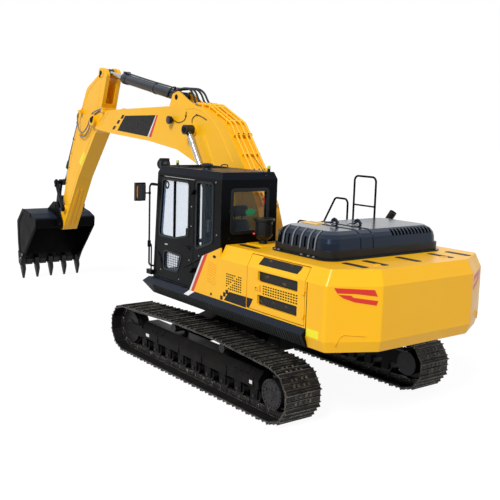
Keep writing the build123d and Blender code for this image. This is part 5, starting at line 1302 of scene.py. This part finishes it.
for name, middle, halves, turn in SEAT_PADS:
    pad = piece(name, UPPER, seat_fabric, pad_form(middle, halves, turn), sharp=180)
    swollen(pad)
    smooth = pad.modifiers.new("smooth", "SUBSURF")
    smooth.levels = smooth.render_levels = 1
seat_frame = [
    box((-0.33, 0.76, 1.497), (0.2, 1.176, 1.56)), box((-0.3, 0.79, 1.76), (0.19, 1.146, 1.832)),
    bar((-0.375, 0.9, 2.54), (-0.385, 0.9, 2.64), 0.01),
    bar((-0.375, 1.036, 2.54), (-0.385, 1.036, 2.64), 0.01),
]
bellows = [hollow(panel(-0.27 + s, 0.82 + s, 0.16 - s, 1.116 - s, 0.03),
                  panel(-0.24, 0.85, 0.13, 1.086, 0.03),
                  1.558 + 0.025 * i, 1.583 + 0.025 * i, PLAN) for i, s in enumerate((0, 0.02) * 4 + (0,))]
frame_piece = piece("seat_frame", UPPER, rubber, *seat_frame, *bellows, bevel=0.003)
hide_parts("cab_seat")


# Controls: moulded consoles beside the seat with two hand levers, travel levers and a screen.
# The levers stand in rubber boots, and the screen is blank.
dress(black_plastic, "cab_controls")
boots = []
for side in (-1, 1):
    y = SEAT_Y + side * 0.349
    folds = [(0.012 * i, 0.05 - 0.004 * i + (0.006 if i % 2 else 0)) for i in range(8)]
    boots.append(turned([(-0.002, 0.058)] + folds, (0.3, y, 2.095), UP, 20))
    boots.append(turned([(0, 0.02), (0.05, 0.026), (0.11, 0.022), (0.125, 0.012)], (0.3, y, 2.27), UP, 14))
piece("lever_boots", UPPER, rubber, *boots)
screen_dark = Finish("screen_dark", linear(10, 14, 18), 0.12)
screen_dark.roughen(screen_dark.noise(20, 2), 0.08, 0.16)
piece("screen", UPPER, screen_dark, box((0.694, 0.545, 2.225), (0.7005, 0.743, 2.365)), bevel=0.002)


# Roof lamps, dome and mirror: a round work lamp on a bracket, a mushroom dome and two small markers.
# The mirror's head hangs on a tube stay that also serves as a grab rail beside the door.
LAMP_SPOT = (1.18, 1.33, 3.272)
MARKER_SPOTS = ((1.01, 1.18), (-0.56, 0.56))
STAY = (1.33, 1.5)
dress(rubber, "roof_lamps", "mirror_left")
lens_finish = Finish("lens", linear(196, 204, 210), 0.12, metallic=0.4)
lens_finish.layer(lens_finish.between(lens_finish.noise(60, 2), 0.45, 0.55), linear(150, 158, 166))
marker_finish = flat_label("marker", linear(176, 184, 70), 0.3)
amber = flat_label("amber", linear(236, 160, 60), 0.3)
mirror_face = Finish("mirror_face", linear(70, 70, 72), 0.1, metallic=0.3)
mirror_face.roughen(mirror_face.noise(12, 2), 0.04, 0.12)
fin_block = box((1.128, LAMP_SPOT[1] - 0.07, LAMP_SPOT[2] + 0.045),
                (1.136, LAMP_SPOT[1] + 0.07, LAMP_SPOT[2] + 0.094))
piece("lamp_rim", UPPER, rubber, copies(fin_block, [(0.018 * i, 0, 0) for i in range(5)]),
      turned([(0.04, 0.088), (0.046, 0.094), (0.062, 0.094), (0.066, 0.086)], LAMP_SPOT, AHEAD, 28),
      turned([(-0.054, 0.06), (-0.1, 0.04), (-0.115, 0.018)], LAMP_SPOT, AHEAD, 12))
piece("lamp_lens", UPPER, lens_finish,
      turned([(0.048, 0.078), (0.06, 0.078), (0.068, 0.05), (0.07, 0.012)], LAMP_SPOT, AHEAD, 28))
piece("roof_dome", UPPER, rubber,
      turned([(0.01, 0.078), (0.016, 0.092), (0.034, 0.094), (0.052, 0.08), (0.062, 0.05), (0.066, 0.012)],
             (0.06, 1.25, 3.285), UP, 32))
marker = turned([(0.045, 0.0235), (0.078, 0.0235), (0.09, 0.016), (0.093, 0.004)], ORIGIN, UP, 14)
piece("marker_lenses", UPPER, marker_finish, copies(marker, [(x, y, CAB_TOP_Z) for x, y in MARKER_SPOTS]))
head = panel(1.594, 2.684, 1.766, 2.966, 0.045, 5)
piece("mirror_rim", UPPER, rubber,
      hollow(grown(head, 0.006), grown(head, -0.014), 1.299, 1.316, FRONT), bevel=0.003)
piece("mirror_glass", UPPER, mirror_face, solid(grown(head, -0.012), 1.3015, 1.3045, FRONT))
piece("mirror_strip", UPPER, amber,
      solid([(1.735, 2.72), (1.752, 2.74), (1.752, 2.91), (1.735, 2.92)], 1.299, 1.302, FRONT))
rail_parts = [
    turned([(0, 0.02), (0.006, 0.028), (0.104, 0.028), (0.11, 0.02)], (*STAY, 1.92), UP, 16),
    pipe([(1.33, 1.5, 1.985), (1.262, 1.5, 1.975), (1.255, 1.5, 1.9), (1.258, 1.5, 1.545)], 0.012, 8, 2),
    box((1.225, 1.462, 1.48), (1.375, 1.522, 1.556)),
    pipe([(1.33, 1.5, 2.76), (1.325, 1.5, 2.95), (1.24, 1.498, 2.965), (1.105, 1.462, 2.955)], 0.011, 8),
    turned([(-0.018, 0.021), (0.018, 0.021)], (*STAY, 2.8), UP, 14),
]
piece("grab_rail", UPPER, black_paint, *rail_parts, bevel=0.002)


# Boom: a welded yellow box with cast bosses at its pins and a seam plate along its back.
# A blank black band with a white and a red edge is stuck on each side, and a work lamp sits on the left.
BOOM_SIDE_Y = 0.22
BOOM_BAND = [(4.589, 4.044), (4.914, 3.744), (3.68, 3.655), (3.374, 4.066)]
BOOM_EDGES = (
    ("white", white_foil, [(3.371, 4.066), (3.677, 3.655), (3.624, 3.65), (3.345, 4.068)]),
    ("red", red_foil, [(3.342, 4.068), (3.621, 3.65), (3.533, 3.647), (3.289, 4.066)]),
)
BOOM_SQUARES = ((4.697, 4.022), (4.872, 3.918), (5.055, 3.798))
BOOM_SEAM = [(2.314, 4.179), (2.044, 4.209), (1.718, 4.137), (1.438, 3.978), (1.162, 3.727), (0.85, 3.318)]
BOOM_LAMP = (2.756, BOOM_SIDE_Y, 3.982)
NOSE_BEAD = [(5.3, 4.11), (5.55, 3.98), (5.66, 3.8), (5.62, 3.72)]
FOOT_BEAD = [(0.5, 2.9), (0.62, 2.7), (0.6, 2.45), (0.45, 2.28)]
LAMP_WIRE = [(2.292, 4.135), (2.308, 3.988), (2.543, 3.928), (2.654, 3.961), (2.7, 3.975)]
PIPE_WIRE = [(2.093, 3.935), (2.099, 4.013), (1.958, 4.092), (1.754, 4.039), (1.634, 3.997)]
WIRE_CLIPS = ((2.3, 4.06), (1.95, 4.08))
BOOM_CYLINDER_EYE = (2.05, 3.82)
ARM_CYLINDER_FOOT = (2.76, 4.4)
ARM_CYLINDER_EYE = (5.74, 4.935)
ARM_PIN = (5.97, 3.94)
BUCKET_CYLINDER_FOOT = (7.05, 4.02)
BUCKET_CYLINDER_EYE = (7.94, 2.46)


def pin_end(spot, y, radius, keeper=None):
    """A round pin's end on both sides, with a grease nipple, and a bolted keeper bar beside it."""
    parts = [pin_cap(spot, y, radius)]
    if keeper:
        along = np.array(keeper, float) / np.hypot(*keeper)
        axes = np.array([(along[0], 0, along[1]), (-along[1], 0, along[0]), LEFT])
        middle, bolt_spot = [spot + along * reach for reach in (radius, radius + 0.035)]
        plate = solid(capsule(0.12, 0.046), -0.002, 0.012, axes, (middle[0], y, middle[1]))
        bolt = bolts([(bolt_spot[0], y + 0.012, bolt_spot[1])], LEFT, 0.011)
        parts.append(on_both(plate, bolt))
    return joined(parts)


slant = np.array([(-0.088, 0.037), (0.008, 0.037), (0.088, -0.037), (-0.008, -0.037)])
piece("boom_band", BOOM, black_foil, on_both(sheet_on(BOOM_SIDE_Y, BOOM_BAND)),
      *[on_both(sheet_on(BOOM_SIDE_Y, slant + spot)) for spot in BOOM_SQUARES])
for name, foil, edge in BOOM_EDGES:
    piece("boom_band_" + name, BOOM, foil, on_both(sheet_on(BOOM_SIDE_Y, edge)))
beads = [pipe(beside(line, BOOM_SIDE_Y), 0.007, 6) for line in (BOOM_SEAM, NOSE_BEAD, FOOT_BEAD)]
stiffeners = [
    bar((1.689, BOOM_SIDE_Y, 3.734), (1.374, BOOM_SIDE_Y, 3.203), 0.01),
    bar((5.718, BOOM_SIDE_Y, 3.919), (5.511, BOOM_SIDE_Y, 4.067), 0.01),
]
piece("boom_beads", BOOM, yellow_paint, on_both(*beads, *stiffeners))
piece("boom_lamp", BOOM, rubber,
      turned([(-0.002, 0.03), (0.03, 0.034), (0.036, 0.066), (0.09, 0.074), (0.1, 0.074), (0.104, 0.066)],
             BOOM_LAMP, LEFT, 28))
piece("boom_lamp_lens", BOOM, screen_dark,
      turned([(0.098, 0.062), (0.106, 0.058), (0.109, 0.03)], BOOM_LAMP, LEFT, 28))
piece("boom_wires", BOOM, rubber,
      *[pipe(beside(line, BOOM_SIDE_Y + 0.006), 0.007, 6, 2) for line in (LAMP_WIRE, PIPE_WIRE)],
      *[solid(square(x, z, 0.014), BOOM_SIDE_Y - 0.001, BOOM_SIDE_Y + 0.016) for x, z in WIRE_CLIPS])
piece("boom_pins", BOOM, black_paint, pin_end(ARM_PIN, 0.3, 0.06, (-1.0, 0.9)),
      pin_end(ARM_CYLINDER_FOOT, 0.148, 0.048), pin_end(BOOM_CYLINDER_EYE, 0.422, 0.056))


# Boom pipes: four steel tubes along the boom's back, held by bolted clamp blocks.
# They are painted with the boom and end in screwed fittings behind the arm cylinder.
PIPE_YS = (-0.15, -0.06, 0.055, 0.145)
PIPE_CLAMPS = (
    # middle (x, z) over the boom's back and the back's direction there
    (0.45, 3.2, 57.0), (0.9, 3.76, 54.0), (1.42, 4.075, 26.0), (1.84, 4.235, 8.0),
)
clamp_line = panel(-0.026, -0.02, 0.026, 0.046, 0.006)
clamp_blocks = []
clamp_bolts = []
for x, z, lean in PIPE_CLAMPS:
    turn = math.radians(lean)
    clamp_axes = np.array([(math.cos(turn), 0, math.sin(turn)), (-math.sin(turn), 0, math.cos(turn)), LEFT])
    clamp_blocks.append(solid(clamp_line, -0.185, 0.18, clamp_axes, (x, 0, z)))
    tops = np.array([(0, 0.046, y) for y in (-0.105, -0.003, 0.1)]) @ clamp_axes + (x, 0, z)
    clamp_bolts.append(bolts(tops, clamp_axes[1], 0.01))
piece("pipe_clamps", BOOM, yellow_paint, *clamp_blocks, bevel=0.003)
piece("pipe_clamp_bolts", BOOM, black_paint, *clamp_bolts)
fitting = turned([(-0.005, 0.03), (0.02, 0.032), (0.024, 0.027), (0.07, 0.027), (0.074, 0.022)],
                 (2.01, 0, 4.277), AHEAD, 6)
piece("pipe_fittings", BOOM, bare_steel, copies(fitting, [(0, y, 0) for y in PIPE_YS]))


# Cylinders: dark painted barrels with bolted glands, and hard chromed rods with forged eyes.
# The arm cylinder also has a steel pipe along its barrel, and a hose and two nuts at its port block.
CYLINDERS = (
    # name, barrel's body, foot (x, z), eye (x, z), barrel length, radius, middles (y)
    ("boom_cylinder", "boom_barrels", BOOM_CYLINDER_FOOT, BOOM_CYLINDER_EYE, 1.64, 0.088, (0.335, -0.335)),
    ("arm_cylinder", "arm_barrel", ARM_CYLINDER_FOOT, ARM_CYLINDER_EYE, 2.28, 0.1, (0,)),
    ("bucket_cylinder", "bucket_barrel", BUCKET_CYLINDER_FOOT, BUCKET_CYLINDER_EYE, 1.4, 0.076, (0,)),
)
GLAND_LENGTH = 0.15
GLAND_BOLTS = 12
BAND_SHARE = 0.42
PORT_PIPE = [(0.27, 0.126), (0.36, 0.128), (0.9, 0.122), (1.6, 0.122), (2.1, 0.128), (2.18, 0.126)]
PORT_HOSE = [(2.876, 0.095, 4.577), (2.95, 0.105, 4.585), (3.033, 0.108, 4.557), (3.122, 0.108, 4.477),
             (3.165, 0.104, 4.4)]


def rod_finish(name, eye, reach):
    """Hard chrome whose forged eye is painted black within a reach of its pin in side view."""
    chrome = Finish(name, linear(178, 180, 184), 0.12, metallic=1.0)
    flat = chrome.add("ShaderNodeVectorMath", {0: chrome.place, 1: (1, 0, 1)},
                      operation="MULTIPLY").outputs[0]
    away = chrome.add("ShaderNodeVectorMath", {0: flat, 1: (eye[0], 0, eye[1])}, operation="DISTANCE")
    painted = chrome.between(away.outputs["Value"], reach + 0.004, reach)
    chrome.layer(chrome.between(chrome.noise(4, 3), 0.45, 0.7, 0, 0.35), linear(150, 148, 144))
    chrome.layer(painted, linear(20, 20, 22))
    chrome.tree.links.new(chrome.between(painted, 0, 1, 1.0, 0.0), chrome.shader.inputs["Metallic"])
    chrome.tree.links.new(chrome.between(painted, 0, 1, 0.12, 0.38), chrome.shader.inputs["Roughness"])
    return chrome


barrel_paint = enamel("barrel_paint", linear(20, 22, 26), linear(30, 33, 38), linear(70, 76, 86),
                      linear(46, 42, 38), 0.26, specular=0.25)
# Painted sky reflection: the barrels' up-facing sides turn bluish grey.
painted_sky_reflection(barrel_paint, 0.7, linear(64, 74, 92))
dress(barrel_paint, "boom_cylinder_barrels", "arm_cylinder_barrel", "bucket_cylinder_barrel")
dress(rod_finish("boom_rod_chrome", BOOM_CYLINDER_EYE, 0.13), "boom_cylinder_rods")
dress(rod_finish("arm_rod_chrome", ARM_CYLINDER_EYE, 0.14), "arm_cylinder_rod")
dress(rod_finish("bucket_rod_chrome", BUCKET_CYLINDER_EYE, 0.11), "bucket_cylinder_rod")
gland_places = np.column_stack([round_points(GLAND_BOLTS), np.zeros(GLAND_BOLTS)])
for name, body, foot, eye, length, radius, middles in CYLINDERS:
    run = np.array([eye[0] - foot[0], 0, eye[1] - foot[1]])
    run /= np.linalg.norm(run)
    collar, groove = radius + 0.01, radius + 0.004
    gland = [(-0.02, radius), (-0.012, collar), (0.05, collar), (0.052, groove), (0.066, groove),
             (0.068, collar), (GLAND_LENGTH, collar), (GLAND_LENGTH + 0.006, radius),
             (GLAND_LENGTH + 0.008, radius * 0.72)]
    band = [(0, radius), (0.004, radius + 0.008), (0.046, radius + 0.008), (0.05, radius)]
    bolt_ring = gland_places * radius * 0.86 + (0, 0, GLAND_LENGTH + 0.006)
    glands = []
    for y in middles:
        pin = np.array([foot[0], y, foot[1]])
        start = pin + run * (length - GLAND_LENGTH)
        glands.append(turned(gland, start, run, 36))
        glands.append(bolts(bolt_ring @ facing(run) + start, run, 0.009))
        glands.append(turned(band, pin + run * (length * BAND_SHARE), run, 36))
    piece(name + "_glands", body, barrel_paint, *glands)
arm_run = np.subtract(ARM_CYLINDER_EYE, ARM_CYLINDER_FOOT)
arm_run /= np.linalg.norm(arm_run)
port_line = ARM_CYLINDER_FOOT + np.array(PORT_PIPE) @ [arm_run, (-arm_run[1], arm_run[0])]
piece("arm_port_pipe", "arm_barrel", barrel_paint, pipe(beside(port_line, 0.03), 0.015, 10, 2))
piece("arm_port_hose", "arm_barrel", rubber, pipe(PORT_HOSE, 0.016))
port_nuts = [turned([(0, 0.026), (0.05, 0.026), (0.054, 0.02)], (2.905, y, 4.545), BACK, 6)
             for y in (-0.036, 0.036)]
piece("arm_port_nuts", "arm_barrel", bare_steel, *port_nuts)


# Hoses: rubber hoses with steel ends bridge the joints.
# Four lead from the boom pipes over the arm cylinder's pin, and two pairs loop down to the arm.
BRIDGE_ROUTE = [(2.082, 4.277), (2.15, 4.32), (2.235, 4.462), (2.369, 4.545), (2.569, 4.562),
                (2.738, 4.548), (2.86, 4.546)]
BRIDGE_YS = (
    # y at the boom pipe and y at the cylinder's port block
    (-0.15, -0.054), (-0.06, -0.018), (0.055, 0.018), (0.145, 0.054),
)
ARM_LOOP_RADIUS = 0.014
ARM_LOOPS = (
    # name, y, route (x, z) from the boom's nose over the pin to the arm
    ("arm_loop_outer", 0.262, [(5.56, 4.18), (5.628, 4.171), (5.961, 4.11), (6.103, 4.0), (6.2, 3.8),
                               (6.498, 3.63), (6.694, 3.736), (6.746, 4.015), (6.64, 4.12)]),
    ("arm_loop_inner", 0.236, [(5.64, 4.14), (5.728, 4.132), (5.959, 4.06), (6.11, 3.945), (6.18, 3.76),
                               (6.412, 3.58), (6.6, 3.56), (6.69, 3.62)]),
)
hose_grey = moulded("hose_grey", linear(104, 106, 108), linear(128, 130, 130), 0.45, (0.9, 0.95, 1.0, 1))
share = np.linspace(0, 1, len(BRIDGE_ROUTE)) ** 1.5
for i, (boom_y, port_y) in enumerate(BRIDGE_YS):
    route = [(x, boom_y + (port_y - boom_y) * part, z) for (x, z), part in zip(BRIDGE_ROUTE, share)]
    hose = piece("bridge_hose_" + str(i + 1), None, rubber, pipe(route, 0.019, 12))
    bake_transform(hose)
for name, y, route in ARM_LOOPS:
    for side, mark in ((1, "left"), (-1, "right")):
        line = eased(beside(route, side * y))
        loop = piece(name + "_" + mark, None, hose_grey, tube(line, ARM_LOOP_RADIUS))
        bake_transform(loop)
loop_foot = turned([(-0.02, 0.02), (0.04, 0.02), (0.046, 0.016)], (-0.02, 0, 0), AHEAD, 6)
loop_feet = [copies(loop_foot, beside(route[:1], y)) for _, y, route in ARM_LOOPS]
piece("boom_hose_ends", BOOM, bare_steel, on_both(*loop_feet))
piece("boom_hose_block", BOOM, yellow_paint,
      on_both(box((5.48, 0.215, 4.105), (5.56, 0.275, 4.205))), bevel=0.004)
piece("arm_hose_block", ARM, yellow_paint,
      on_both(box((6.6, 0.17, 4.085), (6.68, 0.276, 4.155)),
              box((6.655, 0.17, 3.595), (6.735, 0.25, 3.65))), bevel=0.004)


# Arm: a welded yellow box that narrows to the bucket's pin, with a plain yellow label on its side.
# Ribs run along its underside, and pins with keepers hold the cylinder, the rocker and the boom.
ARM_SIDE_Y = 0.175
ARM_LABEL = [(6.834, 2.994), (6.602, 3.256), (6.505, 3.167), (6.715, 2.9)]
ARM_UNDER = np.array([(7.045, 2.391), (7.655, 1.459)])
ARM_RIB_YS = (-0.095, 0.0, 0.095)
ARM_BEADS = (
    # seam lines (x, z) near the front and the rear edge of the arm's side
    [(5.86, 4.82), (6.36, 4.58), (6.58, 4.27), (6.98, 3.59), (7.24, 3.11), (7.62, 2.1)],
    [(5.8, 4.72), (5.86, 4.3), (6.12, 3.72), (6.6, 3.12), (7.0, 2.6), (7.46, 1.9)],
)
ARM_BOLTS = [(6.665, 4.18), (6.865, 3.84), (7.065, 3.49), (7.225, 3.17), (7.365, 2.84), (7.505, 2.47)]
ARM_FOOT_PIN = (7.57, 1.87)
piece("arm_label", ARM, yellow_foil, on_both(sheet_on(ARM_SIDE_Y, ARM_LABEL)))
piece("arm_beads", ARM, yellow_paint,
      on_both(*[pipe(beside(line, ARM_SIDE_Y), 0.006, 6) for line in ARM_BEADS]))
under_run = ARM_UNDER[1] - ARM_UNDER[0]
under_run /= np.linalg.norm(under_run)
under_out = np.array([under_run[1], -under_run[0]])
under_rib = [ARM_UNDER[0] - under_out * 0.004, ARM_UNDER[0] + under_run * 0.03 + under_out * 0.014,
             ARM_UNDER[1] + under_out * 0.014, ARM_UNDER[1] - under_out * 0.004]
piece("arm_ribs", ARM, yellow_paint,
      *[solid(under_rib, y - 0.018, y + 0.018) for y in ARM_RIB_YS], bevel=0.004)
piece("arm_bolts", ARM, black_paint, on_both(bolts(beside(ARM_BOLTS, ARM_SIDE_Y), LEFT, 0.01)))
piece("arm_pins", ARM, black_paint, pin_end(ARM_FOOT_PIN, 0.272, 0.05, (-0.4, 1.0)),
      pin_end(BUCKET_CYLINDER_FOOT, 0.104, 0.04), pin_end(ARM_CYLINDER_EYE, 0.187, 0.048, (0.5, -0.9)))


# Linkage: two cast rocker plates and a forged link turn the bucket.
# Both are painted black, and their pins stand out with keepers at the ends.
dress(black_paint, "rocker", "bucket_link")
ROCKER_RIB = [(7.6, 1.96), (7.62, 1.95), (7.925, 2.385), (7.905, 2.395)]
piece("rocker_pins", "rocker_body", black_paint, pin_end(BUCKET_CYLINDER_EYE, 0.275, 0.05, (-0.2, -1.0)))
piece("rocker_ribs", "rocker_body", black_paint, on_both(solid(ROCKER_RIB, 0.262, 0.272)), bevel=0.003)


# Bucket: a black welded bowl of thick plate with wear strips, side cutters and a toothed lip.
# Earth has rubbed its edges, teeth and lip bright in patches.
BUCKET_SIDE_Y = 0.76
BUCKET_EDGE = [(7.985, 1.375), (7.96, 1.6), (8.25, 1.7), (8.76, 1.79), (9.12, 1.45), (9.08, 0.9),
               (8.985, 0.4), (8.915, 0.38)]
BUCKET_MOUTH = [(8.905, 0.45), (8.02, 1.372), (8.05, 1.4), (8.935, 0.478)]
TOOTH_SHANK = [(8.868, 0.345), (8.872, 0.52), (8.93, 0.56), (9.022, 0.6), (9.018, 0.45), (8.985, 0.345)]
LIP_SHROUD = [(8.925, 0.352, 0.015), (9.005, 0.352, 0.015), (9.026, 0.5, 0.015), (8.935, 0.5, 0.015)]
TOOTH_YS = (-0.708, -0.354, 0.0, 0.354, 0.708)
LIP_YS = (-0.531, -0.177, 0.177, 0.531)
CUTTER_BOLTS = ((8.76, 0.64), (8.85, 0.54), (8.96, 0.5), (8.985, 0.62))
WEAR_RIB_YS = (-0.5, -0.25, 0.0, 0.25, 0.5)
bucket_black = enamel("bucket_black", linear(10, 10, 11), linear(16, 16, 17), linear(96, 96, 98),
                      linear(50, 46, 42), 0.36, specular=0.03, slot="black_paint")
# Painted sky reflection: the bucket's up-facing faces turn bluish grey.
painted_sky_reflection(bucket_black, 0.5, linear(46, 56, 74))
near_lip = bucket_black.between(bucket_black.height(), 0.62, 0.36)
rubbed = bucket_black.between(bucket_black.noise(7, 5), 0.4, 0.62, 0, 0.7)
bucket_black.layer(bucket_black.times(near_lip, rubbed), linear(118, 118, 120))
dress(bucket_black, "bucket")
wear_band = np.concatenate([grown(BUCKET_EDGE, -0.014)[2:7], grown(BUCKET_EDGE, -0.11)[2:7][::-1]])
piece("bucket_side_plates", BUCKET, bucket_black,
      on_both(solid(wear_band, BUCKET_SIDE_Y - 0.002, BUCKET_SIDE_Y + 0.01),
              solid(BUCKET_MOUTH, BUCKET_SIDE_Y - 0.002, BUCKET_SIDE_Y + 0.008)),
      bevel=0.003)
adapters = [solid(TOOTH_SHANK, y - 0.058, y + 0.058) for y in TOOTH_YS]
piece("tooth_adapters", BUCKET, cast_steel, *adapters, bevel=0.008)
tooth_pins = [turned([(0, 0.018), (0.122, 0.018)], (8.905, y - 0.061, 0.33), LEFT, 12) for y in TOOTH_YS]
piece("tooth_pins", BUCKET, bare_steel, *tooth_pins)
shrouds = [solid(rounded(LIP_SHROUD), y - 0.075, y + 0.075) for y in LIP_YS]
piece("lip_shrouds", BUCKET, cast_steel, *shrouds, bevel=0.01)
piece("cutter_bolts", BUCKET, bare_steel,
      on_both(bolts([(x, 0.782, z) for x, z in CUTTER_BOLTS], LEFT, 0.02)))
wear_rib = np.concatenate([grown(BUCKET_EDGE, 0.01)[4:7], grown(BUCKET_EDGE, -0.004)[4:7][::-1]])
piece("bucket_wear_ribs", BUCKET, cast_steel,
      *[solid(wear_rib, y - 0.03, y + 0.03) for y in WEAR_RIB_YS], bevel=0.003)
piece("bucket_pins", BUCKET, black_paint, pin_end((7.81, 1.46), 0.22, 0.048),
      pin_end((8.11, 1.89), 0.214, 0.044))
